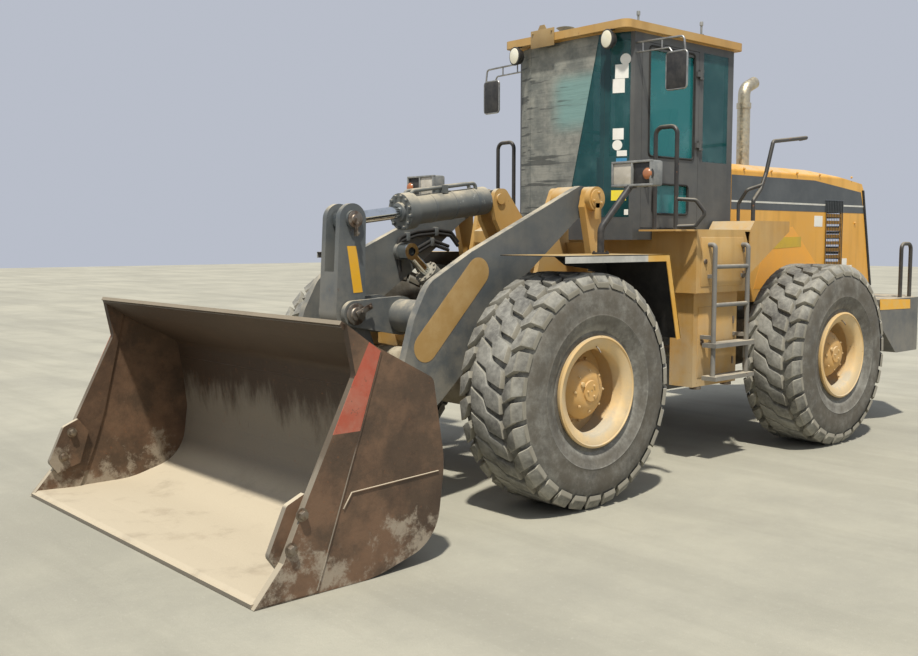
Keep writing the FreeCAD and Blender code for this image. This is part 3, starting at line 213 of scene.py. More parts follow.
hood_yellow = worn_paint("hood_yellow", (0.72, 0.36, 0.045), (0.80, 0.44, 0.09), 0.55, 0.1, 0.2)
tan_yellow = worn_paint("tan_yellow", (0.50, 0.27, 0.055), (0.55, 0.36, 0.13), 0.9, 0.35, 0.35)
front_grey = worn_paint("front_grey", (0.075, 0.090, 0.100), (0.11, 0.125, 0.13), 0.75, 0.35, 0.4)
tail_grey = worn_paint("tail_grey", (0.085, 0.095, 0.100), (0.115, 0.12, 0.12), 0.6, 0.2, 0.3)
cab_charcoal = worn_paint("cab_charcoal", (0.060, 0.064, 0.066), (0.10, 0.105, 0.105), 0.45, 0.15, 0.25)
rim_yellow = worn_paint("rim_yellow", (0.66, 0.42, 0.15), (0.74, 0.55, 0.29), 0.5, 0.3, 0.4, 0.55)
axle_brown = worn_paint("axle_brown", (0.13, 0.10, 0.06), (0.20, 0.16, 0.11), 0.7, 0.5, 0.5)
rail_black = worn_paint("rail_black", (0.018, 0.018, 0.019), (0.045, 0.042, 0.04), 0.35, 0.1, 0.7, 0.4, (0.30, 0.12, 0.05))
ladder_grey = worn_paint("ladder_grey", (0.12, 0.122, 0.122), (0.19, 0.185, 0.17), 0.55, 0.2, 0.5)
fender_white = worn_paint("fender_white", (0.42, 0.42, 0.40), (0.55, 0.54, 0.50), 0.6, 0.2, 0.3)
under_black = worn_paint("under_black", (0.012, 0.012, 0.013), (0.03, 0.03, 0.03), 0.25, 0.3, 0.1, 0.8)
engine_iron = worn_paint("engine_iron", (0.07, 0.07, 0.07), (0.10, 0.095, 0.09), 0.6, 0.3, 0.5, 0.6)
print("painted finishes made")

# %% [markdown]
# ## Bare and worn surfaces
# The bucket has lost nearly all its paint. Its outside is rust in layers, its floor is scoured by
# sand, and pale dust fills it. Rubber, steel and glass follow, each with its own grain.

# %% Bucket, rubber, metal and glass
def bucket_finish(name, base, rich, scoured, floor_share):
    finish = Finish(name, 0.75)
    height = finish.part("Object", "Z")
    broad = finish.step(finish.noise(1.9, 9, 0.7), 0.40, 0.60)
    body = finish.mix(broad, base, rich)
    streaks = finish.step(finish.noise(5.0, 6, 0.7, stretch=(0.3, 3.0, 0.3)), 0.42, 0.66)
    body = finish.mix(finish.math("MULTIPLY", streaks, 0.6), body, (0.030, 0.017, 0.010))
    # The forward-facing back wall is grey low down and painted dark above a ragged line: a painted shadow of the top
    # plate, not soot.
    facing = finish.step(finish.part("Normal", "X"), 0.1, 0.5)
    ragged = finish.math("MULTIPLY", finish.noise(2.6, 9, 0.72, stretch=(1, 1.6, 0.5), shift=(5, 2, 7)), 0.9)
    top_plate_shadow = finish.step(finish.math("ADD", height, ragged), 0.98, 1.26)
    inside = finish.mix(top_plate_shadow, (0.185, 0.165, 0.130), (0.036, 0.021, 0.011))
    body = finish.mix(finish.math("MULTIPLY", facing, 0.92), body, inside)
    upright = finish.step(finish.math("ABSOLUTE", finish.part("Normal", "Y")), 0.6, 0.9)
    low = finish.step(height, 0.12, 0.62, floor_share, 0.0)
    mud = finish.step(finish.math("ADD", finish.noise(2.7, 9, 0.75, shift=(2, 0, 1)), low), 0.66, 0.76)
    body = finish.mix(finish.math("MULTIPLY", finish.math("MULTIPLY", mud, upright), 0.85), body, (0.34, 0.29, 0.22))
    level = finish.step(finish.part("Normal", "Z"), 0.3, 0.9)
    patches = finish.step(finish.noise(2.6, 9, 0.7), 0.28, 0.5, 0.72, 1.0)
    settled = finish.math("MULTIPLY", level, patches)
    body = finish.mix(settled, body, scoured)
    spots = finish.step(finish.noise(26.0, 9, 0.8), 0.58, 0.66, 0.0, 0.6)
    spots = finish.math("MULTIPLY", spots, finish.math("SUBTRACT", 1.0, settled))
    finish.colour(finish.mix(spots, body, (0.21, 0.085, 0.035)))
    finish.roughness(finish.step(settled, 0.0, 1.0, 0.62, 0.92))
    finish.bump(finish.noise(38.0, 8, 0.75), 0.5, 0.006)
    return finish.material


bucket_rust = bucket_finish("bucket_rust", (0.082, 0.052, 0.031), (0.165, 0.096, 0.055), (0.50, 0.435, 0.32), 0.20)


def rubber_finish(name, colour, dusty, wall_colour, edge_dust):
    finish = Finish(name, 0.85)
    cloud = finish.step(finish.noise(3.2, 9, 0.72), 0.36, 0.66)
    fine = finish.step(finish.noise(30.0, 6, 0.7), 0.35, 0.75, 0.0, 0.5)
    rubber = finish.mix(finish.math("ADD", finish.math("MULTIPLY", cloud, 0.75), fine), colour, dusty)
    wall = finish.step(finish.math("ABSOLUTE", finish.part("Normal", "Y")), 0.80, 0.99)
    brown = finish.step(finish.noise(5.0, 8, 0.75, shift=(1, 4, 2)), 0.34, 0.62, 0.35, 0.95)
    rubber = finish.mix(finish.math("MULTIPLY", wall, brown), rubber, wall_colour)
    geometry = finish.tree.nodes.new("ShaderNodeNewGeometry")
    edge = finish.step(geometry.outputs["Pointiness"], 0.53, 0.62, 0.0, edge_dust)
    finish.colour(finish.mix(edge, rubber, (0.48, 0.45, 0.36)))
    finish.bump(finish.noise(70.0, 6, 0.7), 0.35, 0.003)
    return finish.material


tyre_rubber = rubber_finish("tyre_rubber", (0.085, 0.083, 0.076), (0.30, 0.295, 0.26), (0.100, 0.088, 0.068), 0.42)
seal_rubber = rubber_finish("seal_rubber", (0.012, 0.012, 0.012), (0.04, 0.038, 0.034), (0.02, 0.02, 0.02), 0.0)


def metal_finish(name, colour, stain, roughness, share):
    finish = Finish(name, roughness, 1.0)
    stained = finish.step(finish.noise(14.0, 8, 0.7), 0.46, 0.62, 0.0, share)
    finish.colour(finish.mix(stained, colour, stain))
    finish.roughness(finish.step(finish.noise(40.0, 5), 0.3, 0.7, roughness * 0.8, roughness * 1.4))
    finish.bump(finish.noise(120.0, 4), 0.12, 0.001)
    return finish.material


rod_chrome = metal_finish("rod_chrome", (0.66, 0.70, 0.72), (0.36, 0.36, 0.34), 0.12, 0.25)
pin_steel = metal_finish("pin_steel", (0.30, 0.27, 0.23), (0.13, 0.07, 0.04), 0.45, 0.7)
exhaust_steel = metal_finish("exhaust_steel", (0.62, 0.56, 0.42), (0.40, 0.30, 0.18), 0.42, 0.5)
bolt_steel = metal_finish("bolt_steel", (0.28, 0.24, 0.19), (0.16, 0.09, 0.05), 0.5, 0.6)


def glass_finish(name, colour, alpha):
    finish = Finish(name, 0.06)
    smear = finish.step(finish.noise(2.4, 7, 0.65), 0.4, 0.75)
    finish.colour(finish.mix(finish.math("MULTIPLY", smear, 0.35), colour, (0.16, 0.30, 0.30)))
    finish.feed(finish.shader.inputs["Alpha"], finish.step(smear, 0.0, 1.0, alpha, alpha + 0.12))
    return finish.material


tinted_glass = glass_finish("tinted_glass", (0.010, 0.085, 0.090), 0.62)
door_glass = glass_finish("door_glass", (0.020, 0.200, 0.210), 0.70)
cylinder_grey = worn_paint("cylinder_grey", (0.085, 0.098, 0.100), (0.135, 0.15, 0.15), 0.7, 0.1, 1.0, 0.6, (0.34, 0.35, 0.33))


def plain_finish(name, colour, faded, roughness, scale=9.0):
    """Plastic, paint in a small patch, cloth of a seat: one colour that has faded in patches."""
    finish = Finish(name, roughness)
    finish.colour(finish.mix(finish.step(finish.noise(scale, 7, 0.7), 0.35, 0.7), colour, faded))
    finish.bump(finish.noise(scale * 14, 4), 0.15, 0.001)
    return finish.material


lamp_grey = plain_finish("lamp_grey", (0.17, 0.18, 0.18), (0.30, 0.30, 0.28), 0.5)
lamp_cream = plain_finish("lamp_cream", (0.75, 0.70, 0.52), (0.80, 0.78, 0.66), 0.25)
lens_white = plain_finish("lens_white", (0.45, 0.42, 0.35), (0.60, 0.57, 0.50), 0.12)
lens_orange = plain_finish("lens_orange", (0.42, 0.13, 0.04), (0.36, 0.17, 0.09), 0.25)
white_film = plain_finish("white_film", (0.78, 0.77, 0.70), (0.85, 0.84, 0.78), 0.45)
line_white = plain_finish("line_white", (0.66, 0.66, 0.60), (0.55, 0.53, 0.46), 0.5)
decal_yellow = plain_finish("decal_yellow", (0.42, 0.26, 0.09), (0.50, 0.34, 0.15), 0.55, 5.0)
marker_yellow = plain_finish("marker_yellow", (0.78, 0.42, 0.02), (0.72, 0.40, 0.05), 0.4)
band_dark = plain_finish("band_dark", (0.065, 0.075, 0.082), (0.10, 0.11, 0.115), 0.5, 2.0)
seat_black = plain_finish("seat_black", (0.020, 0.020, 0.022), (0.05, 0.05, 0.05), 0.8, 12.0)
console_black = plain_finish("console_black", (0.022, 0.022, 0.024), (0.05, 0.048, 0.045), 0.6)
print("other finishes made")

# %% [markdown]
# ## Finishes on the frame
# A CAD node keeps its shape here and takes a finish. The list pairs each node with its paint.

# %% Assign finishes to the frame's nodes
NODE_FINISHES = {
    "front_frame": tan_yellow, "front_axle": axle_brown, "front_fenders": under_black,
    "headlamps": lamp_grey, "boom": front_grey, "rocker": front_grey, "bucket_link": front_grey,
    "bucket": bucket_rust, "bucket_hinge_pins": pin_steel, "rocker_pivot_pin": pin_steel,
    "link_pivot_pin": pin_steel, "tilt_cylinder_barrel": cylinder_grey, "tilt_cylinder_rod": rod_chrome,
    "lift_cylinder_barrels": cylinder_grey, "lift_cylinder_rods": rod_chrome,
    "steer_barrel_left": front_grey, "steer_barrel_right": front_grey, "steer_rod_left": rod_chrome,
    "steer_rod_right": rod_chrome, "rear_frame": tail_grey, "rear_axle": axle_brown,
    "axle_cradle": axle_brown, "engine_block": engine_iron, "hood": hood_yellow,
    "radiator_grille": under_black, "counterweight": tail_grey, "cab_base": tan_yellow,
    "side_boxes": tan_yellow, "platforms": tan_yellow, "ladders": ladder_grey,
    "handrails": rail_black, "cab_tub": cab_charcoal, "cab_posts": cab_charcoal,
    "cab_glass": tinted_glass, "cab_roof": tan_yellow, "door_left": cab_charcoal,
    "door_left_glass": door_glass, "door_right": cab_charcoal, "door_right_glass": door_glass,
    "seat": seat_black, "steering_console": console_black, "exhaust": exhaust_steel,
    "mirrors": rail_black, "roof_lamps": lamp_cream,
}
CORNERS = ("front_left", "front_right", "rear_left", "rear_right")
for corner in CORNERS:
    NODE_FINISHES["tyre_" + corner] = tyre_rubber
    NODE_FINISHES["rim_" + corner] = rim_yellow
for name, material in NODE_FINISHES.items():
    mesh = nodes[name].data
    mesh.materials.clear()
    mesh.materials.append(material)
bare = sorted(set(nodes) - set(NODE_FINISHES))
print("nodes without a finish:", bare)

# %% [markdown]
# ## Small helpers for pieces
# Each piece starts as a bmesh, is shaped by operators in place, and becomes an object at the origin
# that rides on a body of the frame.

# %% Helpers for pieces
def finish_piece(name, bm, body, material, smooth=30.0):
    bmesh.ops.recalc_face_normals(bm, faces=bm.faces)
    mesh = bpy.data.meshes.new(name)
    bm.to_mesh(mesh)
    bm.free()
    mesh.materials.append(material)
    piece = bpy.data.objects.new(name, mesh)
    bpy.context.scene.collection.objects.link(piece)
    mesh.shade_smooth()
    mesh.set_sharp_from_angle(angle=math.radians(smooth))
    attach(piece, body)
    return piece


def add_block(bm, low, high, bevel=0.0):
    """A block between two corners, its edges rounded over."""
    low, high = Vector(low), Vector(high)
    made = bmesh.ops.create_cube(bm, size=1.0)["verts"]
    bmesh.ops.scale(bm, vec=high - low, verts=made)
    bmesh.ops.translate(bm, vec=(low + high) / 2, verts=made)
    if bevel:
        edges = list({e for v in made for e in v.link_edges})
        bmesh.ops.bevel(
            bm, geom=edges, offset=bevel, offset_type="OFFSET", segments=2, profile=0.5,
            affect="EDGES", material=-1,
        )


def add_drum(bm, start, end, radius, radius_end=None, segments=24, bevel=0.0):
    """A round bar between two points, tapering if a second radius is given."""
    start, end = Vector(start), Vector(end)
    run = end - start
    made = bmesh.ops.create_cone(
        bm, cap_ends=True, segments=segments, radius1=radius,
        radius2=radius if radius_end is None else radius_end, depth=run.length,
    )["verts"]
    if bevel:
        rims = [e for e in {e for v in made for e in v.link_edges} if abs(e.verts[0].co.z - e.verts[1].co.z) < 1e-6]
        top = [e for e in rims if e.verts[0].co.z > 0]
        made = list({v for f in bmesh.ops.bevel(
            bm, geom=top, offset=bevel, offset_type="OFFSET", segments=2, profile=0.5,
            affect="EDGES", material=-1,
        )["faces"] for v in f.verts} | {v for v in made if v.is_valid})
    turn = run.to_track_quat("Z", "Y").to_matrix().to_4x4()
    bmesh.ops.transform(bm, matrix=Matrix.Translation((start + end) / 2) @ turn, verts=made)
    return made


def add_bolt(bm, place, axis, size, thick=0.6, washer=True):
    """Hexagon head on a washer; size is the head's half width."""
    place, axis = Vector(place), Vector(axis).normalized()
    if washer:
        add_drum(bm, place, place + axis * size * 0.18, size * 1.35, segments=16)
    add_drum(bm, place, place + axis * size * (0.18 + thick * 2), size, size * 0.94, segments=6, bevel=size * 0.12)


def add_tube(bm, points, radius, segments=12):
    """A tube that follows points, swept by extruding one ring; corners should be rounded first."""
    points = [Vector(p) for p in points]
    heading = (points[1] - points[0]).normalized()
    turn = heading.to_track_quat("Z", "Y").to_matrix().to_4x4()
    ring = bmesh.ops.create_circle(bm, cap_ends=True, segments=segments, radius=radius)["verts"]
    bmesh.ops.transform(bm, matrix=Matrix.Translation(points[0]) @ turn, verts=ring)
    face = next(f for f in ring[0].link_faces if len(f.verts) == segments)
    for i in range(1, len(points)):
        here = points[i]
        following = (points[min(i + 1, len(points) - 1)] - here).normalized() if i < len(points) - 1 else heading
        made = bmesh.ops.extrude_discrete_faces(bm, faces=[face])["faces"]
        face = made[0]
        verts = list(face.verts)
        centre = sum((v.co for v in verts), Vector()) / len(verts)
        bend = (heading + following).normalized()
        step_turn = last_bend.rotation_difference(bend) if i > 1 else heading.rotation_difference(bend)
        bmesh.ops.rotate(bm, cent=centre, matrix=step_turn.to_matrix(), verts=verts)
        bmesh.ops.translate(bm, vec=here - centre, verts=verts)
        last_bend = bend
        heading = following


def rounded(points, bend, steps=5):
    """The same route with each inner corner replaced by an arc."""
    points = [Vector(p) for p in points]
    path = [points[0]]
    for i in range(1, len(points) - 1):
        here = points[i]
        to_a = (points[i - 1] - here).normalized()
        to_b = (points[i + 1] - here).normalized()
        half = to_a.angle(to_b) / 2
        run = bend / math.tan(half)
        centre = here + (to_a + to_b).normalized() * bend / math.sin(half)
        first = here + to_a * run - centre
        last = here + to_b * run - centre
        for k in range(steps + 1):
            path.append(centre + first.normalized().slerp(last.normalized(), k / steps) * bend)
    path.append(points[-1])
    return path


def add_sheet(bm, points, thickness, out=(0, 1, 0)):
    """A flat outline in space given a thickness towards the side that out points to."""
    corners = [bm.verts.new(p) for p in points]
    face = bm.faces.new(corners)
    face.normal_update()
    normal = face.normal.copy()
    if normal.dot(Vector(out)) < 0:
        normal.negate()
    made = bmesh.ops.extrude_face_region(bm, geom=[face])["geom"]
    moved = [g for g in made if isinstance(g, bmesh.types.BMVert)]
    bmesh.ops.translate(bm, vec=normal * thickness, verts=moved)


def mirror_left_right(bm):
    """Adds the same shape on the machine's other side."""
    geometry = list(bm.verts) + list(bm.edges) + list(bm.faces)
    copy = bmesh.ops.duplicate(bm, geom=geometry)["geom"]
    verts = [g for g in copy if isinstance(g, bmesh.types.BMVert)]
    bmesh.ops.scale(bm, vec=(1, -1, 1), verts=verts)
    faces = [g for g in copy if isinstance(g, bmesh.types.BMFace)]
    bmesh.ops.reverse_faces(bm, faces=faces)


# %% [markdown]
# ## Tyres
# An earthmover tyre has a deep zigzag of blocks across its middle and heavier lugs over each
# shoulder. The carcass is one profile spun round the axle. Each block is an outline pushed outwards
# and bevelled, then turned round the wheel by a loop, which keeps the pattern even.

# %% Tyres
TYRE_R = 0.7835
TREAD_R = 0.752
LUGS = 30
TURN = 2 * math.pi / LUGS
ARC = TURN * TYRE_R
CARCASS = [
    (0.330, 0.212), (0.356, 0.232), (0.388, 0.238), (0.400, 0.232), (0.412, 0.243), (0.455, 0.262),
    (0.500, 0.274), (0.508, 0.279), (0.516, 0.276), (0.565, 0.281), (0.620, 0.279), (0.668, 0.270),
    (0.704, 0.252), (0.730, 0.226), (TREAD_R - 0.010, 0.190), (TREAD_R - 0.006, 0.100), (TREAD_R - 0.005, 0.0),
]


def add_lug(bm, top, foot, turn):
    """One block, its foot outline extruded to its top outline; each is a list of (along, across, radius)."""
    def places(outline):
        return [
            Vector((radius * math.sin(along / TYRE_R + turn), across, radius * math.cos(along / TYRE_R + turn)))
            for along, across, radius in outline
        ]
    base = bm.faces.new([bm.verts.new(place) for place in places(foot)])
    cap = bmesh.ops.extrude_discrete_faces(bm, faces=[base])["faces"][0]
    for vert, place in zip(cap.verts, places(top)):
        vert.co = place
    return list(cap.edges)


def spread(outline, radius, grow=0.0):
    middle = sum(p[0] for p in outline) / len(outline)
    across = sum(p[1] for p in outline) / len(outline)
    return [(p[0] + math.copysign(grow, p[0] - middle), p[1] + math.copysign(grow, p[1] - across), radius) for p in outline]


def tyre_mesh():
    bm = bmesh.new()
    line = CARCASS + [(r, -y) for r, y in CARCASS[-2::-1]]
    verts = [bm.verts.new((0, y, r)) for r, y in line]
    edges = [bm.edges.new(pair) for pair in zip(verts, verts[1:])]
    edges.append(bm.edges.new((verts[-1], verts[0])))
    bmesh.ops.spin(
        bm, geom=verts + edges, axis=(0, 1, 0), cent=(0, 0, 0), angle=2 * math.pi, steps=120, use_merge=True,
    )
    middle = [
        (-0.150, -0.128), (-0.080, -0.014), (-0.006, 0.016), (0.034, 0.108), (0.062, 0.130), (0.160, 0.130),
        (0.122, 0.014), (0.048, -0.016), (0.008, -0.104), (-0.022, -0.128),
    ]
    shoulder = [(-0.052, 0.186), (0.030, 0.150), (0.074, 0.166), (0.034, 0.230), (-0.094, 0.230)]
    slope = [(0.020, 0.276, 0.722), (-0.106, 0.276, 0.722)]
    top_edges = []
    for i in range(LUGS):
        turn = i * TURN
        for side in (1, -1):
            outline = [(a * side, y * side) for a, y in shoulder]
            top = spread(outline, TYRE_R)
            end = [(a * side, y * side, r) for a, y, r in slope]
            offset = turn + TURN * 0.06 * side
            top_edges += add_lug(bm, top, spread(outline, TREAD_R - 0.012, 0.004), offset)
            block = [top[4], top[3], end[0], end[1]]
            foot = [(a, y * 0.985, r - 0.034) for a, y, r in block]
            top_edges += add_lug(bm, block, foot, offset)
        top_edges += add_lug(bm, spread(middle, TYRE_R), spread(middle, TREAD_R - 0.012, 0.004), turn)
    bmesh.ops.bevel(
        bm, geom=top_edges, offset=0.006, offset_type="OFFSET", segments=2, profile=0.5,
        affect="EDGES", material=-1,
    )
    return bm


for corner in CORNERS:
    bm = tyre_mesh()
    centre = Vector(joints["wheel_" + corner + "_spin"]["pos_m"])
    if corner.endswith("right"):
        bmesh.ops.scale(bm, vec=(1, -1, 1), verts=bm.verts)
    bmesh.ops.translate(bm, vec=centre, verts=bm.verts)
    tyre = finish_piece("tyre_dressed_" + corner, bm, "wheel_" + corner, tyre_rubber, 40)
    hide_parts("tyre_" + corner)
print("tyre triangles about", sum(len(p.vertices) - 2 for p in tyre.data.polygons))

# %% [markdown]
# ## Wheel hardware
# The hub of a loader holds planet gears, so its cap is bolted on and has a filler plug. A ring of
# nuts holds the rim. They are small and many, so each is a hexagon with a washer.

# %% Bolts on the wheels
RING_SECTION = (
    (0.366, 0.248), (0.358, 0.262), (0.346, 0.262), (0.312, 0.246), (0.290, 0.236), (0.282, 0.222),
    (0.282, 0.150), (0.300, 0.150), (0.312, 0.216),
)
HUB_SECTION = (
    (0.197, 0.020), (0.197, 0.121), (0.190, 0.132), (0.175, 0.1425), (0.151, 0.1675), (0.120, 0.1935),
    (0.088, 0.1975), (0.072, 0.1975), (0.068, 0.2075), (0.010, 0.2075),
)
hub_yellow = worn_paint("hub_yellow", (0.60, 0.33, 0.08), (0.66, 0.42, 0.15), 0.35, 0.25, 0.5, 0.55)
rim_dusty = worn_paint("rim_dusty", (0.70, 0.47, 0.19), (0.80, 0.63, 0.38), 0.7, 0.4, 0.45, 0.6)
for corner in CORNERS:
    bm = bmesh.new()
    centre = Vector(joints["wheel_" + corner + "_spin"]["pos_m"])
    side = 1 if corner.endswith("left") else -1
    for count, ring, face, size in ((8, 0.135, 0.181, 0.008), (3, 0.040, 0.2075, 0.007), (20, 0.232, 0.022, 0.014)):
        for i in range(count):
            angle = 2 * math.pi * i / count
            place = Vector((ring * math.cos(angle), side * face, ring * math.sin(angle)))
            add_bolt(bm, place, (0, side, 0), size)
    add_drum(bm, (0.085, side * 0.198, 0.05), (0.085, side * 0.212, 0.05), 0.017, bevel=0.003)
    bmesh.ops.translate(bm, vec=centre, verts=bm.verts)
    finish_piece("wheel_bolts_" + corner, bm, "wheel_" + corner, rim_yellow, 35)
    bm = bmesh.new()
    ring = [(r, side * y) for r, y in RING_SECTION]
    verts = [bm.verts.new((0, y, r)) for r, y in ring]
    edges = [bm.edges.new(pair) for pair in zip(verts, verts[1:] + verts[:1])]
    bmesh.ops.spin(
        bm, geom=verts + edges, axis=(0, 1, 0), cent=(0, 0, 0), angle=2 * math.pi, steps=72, use_merge=True,
    )
    bmesh.ops.translate(bm, vec=centre, verts=bm.verts)
    finish_piece("rim_ring_" + corner, bm, "wheel_" + corner, rim_dusty, 40)
    bm = bmesh.new()
    verts = [bm.verts.new((0, side * y, r)) for r, y in HUB_SECTION]
    edges = [bm.edges.new(pair) for pair in zip(verts, verts[1:])]
    bmesh.ops.spin(
        bm, geom=verts + edges, axis=(0, 1, 0), cent=(0, 0, 0), angle=2 * math.pi, steps=72, use_merge=True,
    )
    bmesh.ops.translate(bm, vec=centre, verts=bm.verts)
    finish_piece("hub_cap_" + corner, bm, "wheel_" + corner, hub_yellow, 40)
    bm = bmesh.new()
    stem = rounded([(0.0, side * 0.24, 0.300), (0.0, side * 0.262, 0.285), (0.0, side * 0.280, 0.262)], 0.012)
    add_tube(bm, [centre + p for p in stem], 0.005, 8)
    finish_piece("valve_" + corner, bm, "wheel_" + corner, pin_steel)

# %% [markdown]
# ## Bucket
# The cheeks carry a doubler along their front edge, red at its top where the last paint clings. The side cutters are
# bolted through. A weld bead runs where the plates meet.

# %% Bucket plates, bolts and welds
red_paint = worn_paint("red_paint", (0.44, 0.055, 0.022), (0.36, 0.080, 0.042), 0.3, 0.3, 1.0, 0.6, (0.15, 0.085, 0.055))
lip_steel = bucket_finish("lip_steel", (0.22, 0.20, 0.17), (0.30, 0.27, 0.22), (0.55, 0.50, 0.40), 0.9)
CHEEK_Y = 1.5
LINER_SECTION = (
    (3112, 430), (3109, 480), (3110, 520), (3114, 560), (3121, 620), (3129, 700), (3135, 760),
    (3139, 800), (3147, 860), (3152.5, 900),
)


def side_points(points, y):
    return [at(x / 1000, y, z / 1000) for x, z in points]


bm = bmesh.new()
add_sheet(bm, side_points([
    (3588, 1257), (3510, 1203), (3645, 800), (3820, 801), (3800, 840), (3676, 1090),
], CHEEK_Y), 0.003)
mirror_left_right(bm)
finish_piece("cheek_red_band", bm, "bucket", red_paint)

bm = bmesh.new()
add_sheet(bm, side_points([
    (3645, 800), (3735, 549), (3830, 280), (3925, 12), (4284, 12), (4121, 197), (3973, 501), (3820, 801),
], CHEEK_Y), 0.003)
add_sheet(bm, side_points([(3729, 1355), (3588, 1257), (3676, 1090)], CHEEK_Y), 0.003)
mirror_left_right(bm)
finish_piece("cheek_band", bm, "bucket", bucket_rust)

bm = bmesh.new()
for x, z in ((4012, 425), (4078, 262)):
    for y, way in ((CHEEK_Y + 0.003, 1), (1.424, -1)):
        add_bolt(bm, at(x / 1000, y, z / 1000), (0, way, 0), 0.026, 0.5)
mirror_left_right(bm)
finish_piece("cutter_bolts", bm, "bucket", bolt_steel, 35)

bm = bmesh.new()
for points in (
    [(3118, 509), (3400, 497), (3705, 484), (3757, 407)],
    [(3510, 1200), (3645, 800), (3735, 549), (3830, 280), (3925, 20)],
):
    add_tube(bm, side_points(points, CHEEK_Y + 0.001), 0.006, 8)
mirror_left_right(bm)
finish_piece("cheek_weld", bm, "bucket", bucket_rust, 60)

bm = bmesh.new()
section = [bm.verts.new(at(x / 1000, -1.455, z / 1000)) for x, z in LINER_SECTION]
edges = [bm.edges.new(pair) for pair in zip(section, section[1:])]
swept = bmesh.ops.extrude_edge_only(bm, edges=edges)["geom"]
bmesh.ops.translate(bm, vec=(0, 2.910, 0), verts=[v for v in swept if isinstance(v, bmesh.types.BMVert)])
bmesh.ops.solidify(bm, geom=bm.faces[:], thickness=0.002)
finish_piece("bucket_liner", bm, "bucket", bucket_rust, 60)

# %% [markdown]
# ## Marks on the boom and rocker
# Two kinds of mark carry colour on the dark grey linkage: a long rounded panel on each boom plate and
# an upright reflector on each side of the rocker. Both are bare of any words.

# %% Panels and reflectors
BOOM_FACE = 0.6605


def add_stadium(bm, start, end, radius, y, thickness):
    """A flat panel with round ends, its length between two points of a side view."""
    start, end = Vector(start), Vector(end)
    run = (end - start).normalized()
    across = Vector((run.z, 0, -run.x))
    ends = []
    for centre, sign in ((start, -1), (end, 1)):
        for k in range(13):
            angle = math.pi * (k / 12 - 0.5)
            ends.append(centre + sign * radius * (run * math.cos(angle) + across * math.sin(angle)))
    add_sheet(bm, [Vector((p.x, y, p.z)) for p in ends], thickness)


bm = bmesh.new()
add_stadium(bm, at(2.500, 0, 1.085), at(2.035, 0, 1.565), 0.098, BOOM_FACE, 0.0012)
mirror_left_right(bm)
finish_piece("boom_panel", bm, "boom", decal_yellow)

bm = bmesh.new()
add_sheet(bm, [at(2.714, 0.1003, 1.739), at(2.640, 0.1003, 1.739), at(2.588, 0.1003, 1.426), at(2.664, 0.1003, 1.423)], 0.0015)
mirror_left_right(bm)
finish_piece("rocker_reflector", bm, "rocker", marker_yellow)

# %% [markdown]
# ## Pins, caps and bolts on the linkage
# Each big pin ends in a cap with a keeper plate, so that it can't turn or walk out. The cylinder
# heads are ringed by bolts. These tell the eye how heavy the joints are.

# %% Pin caps and gland bolts
def add_pin_end(bm, place, side, radius, keeper):
    """Raised ring, dished cap and a keeper plate held by two bolts, on one outer face."""
    place = Vector(place)
    out = Vector((0, side, 0))
    add_drum(bm, place, place + out * 0.010, radius, bevel=0.003)
    add_drum(bm, place + out * 0.010, place + out * 0.018, radius * 0.62, radius * 0.55, bevel=0.002)
    along = Vector(keeper).normalized()
    start = place + along * radius * 0.25
    low = start - Vector((0.022, 0, 0)) + out * 0.018
    plate = bmesh.new()
    add_block(plate, (-0.020, 0, -0.010), (0.020, 0.010, radius + 0.055), 0.002)
    turn = Vector((0, 0, 1)).rotation_difference(along).to_matrix().to_4x4()
    flip = Matrix.Diagonal((1, side, 1, 1))
    bmesh.ops.transform(plate, matrix=Matrix.Translation(place + out * 0.018) @ turn @ flip, verts=plate.verts)
    mesh = bpy.data.meshes.new("keeper")
    plate.to_mesh(mesh)
    plate.free()
    bm.from_mesh(mesh)
    bpy.data.meshes.remove(mesh)
    for reach in (0.30, 1.0):
        add_bolt(bm, place + along * (radius + 0.035) * reach + out * 0.028, out, 0.011)


bm = bmesh.new()
ROCKER_TOP = at(2.662, 0, 1.917)
for side in (1, -1):
    add_pin_end(bm, ROCKER_TOP + Vector((0, side * 0.122, 0)), side, 0.058, (0, 0, -1))
    add_drum(bm, at(2.450, side * 0.122, 0.690), at(2.450, side * 0.134, 0.690), 0.044, bevel=0.003)
finish_piece("rocker_pin_ends", bm, "rocker", pin_steel, 35)

bm = bmesh.new()
pivot = joint_point("rocker_level")
for side in (1, -1):
    add_pin_end(bm, pivot + Vector((0, side * 0.162, 0)), side, 0.075, (-1, 0, 0.45))
finish_piece("rocker_pivot_caps", bm, "rocker_pin", pin_steel, 35)

bm = bmesh.new()
hinge = joint_point("bucket_tilt")
for side in (1, -1):
    add_pin_end(bm, hinge + Vector((0, side * 0.715, 0)), side, 0.068, (0.3, 0, 1))
finish_piece("bucket_pin_caps", bm, "bucket_pins", pin_steel, 35)

bm = bmesh.new()
foot = joint_point("boom_lift")
for side in (1, -1):
    place = foot + Vector((0, side * 0.775, 0))
    out = Vector((0, side, 0))
    add_drum(bm, place, place + out * 0.008, 0.070, bevel=0.002)
    for i in range(3):
        angle = math.radians(100 + 120 * i)
        add_bolt(bm, place + Vector((math.cos(angle), 0, math.sin(angle))) * 0.046 + out * 0.008, out, 0.010)
    add_block(bm, place + Vector((-0.024, -0.004 if side > 0 else -0.008, -0.150)), place + Vector((0.024, 0.008 if side > 0 else 0.004, -0.030)), 0.002)
finish_piece("boom_pin_caps", bm, "front_frame", tan_yellow, 35)

tilt_base = joint_point("tilt_barrel_pivot")
tilt_run = Vector(joints["tilt_rod_slide"]["axis"]).normalized()
GLAND = 0.896


def add_bolt_ring(bm, centre, axis, radius, count, size):
    axis = Vector(axis).normalized()
    across = axis.orthogonal().normalized()
    for i in range(count):
        arm = Matrix.Rotation(2 * math.pi * i / count, 3, axis) @ across
        add_bolt(bm, centre + arm * radius, axis, size, 0.6)


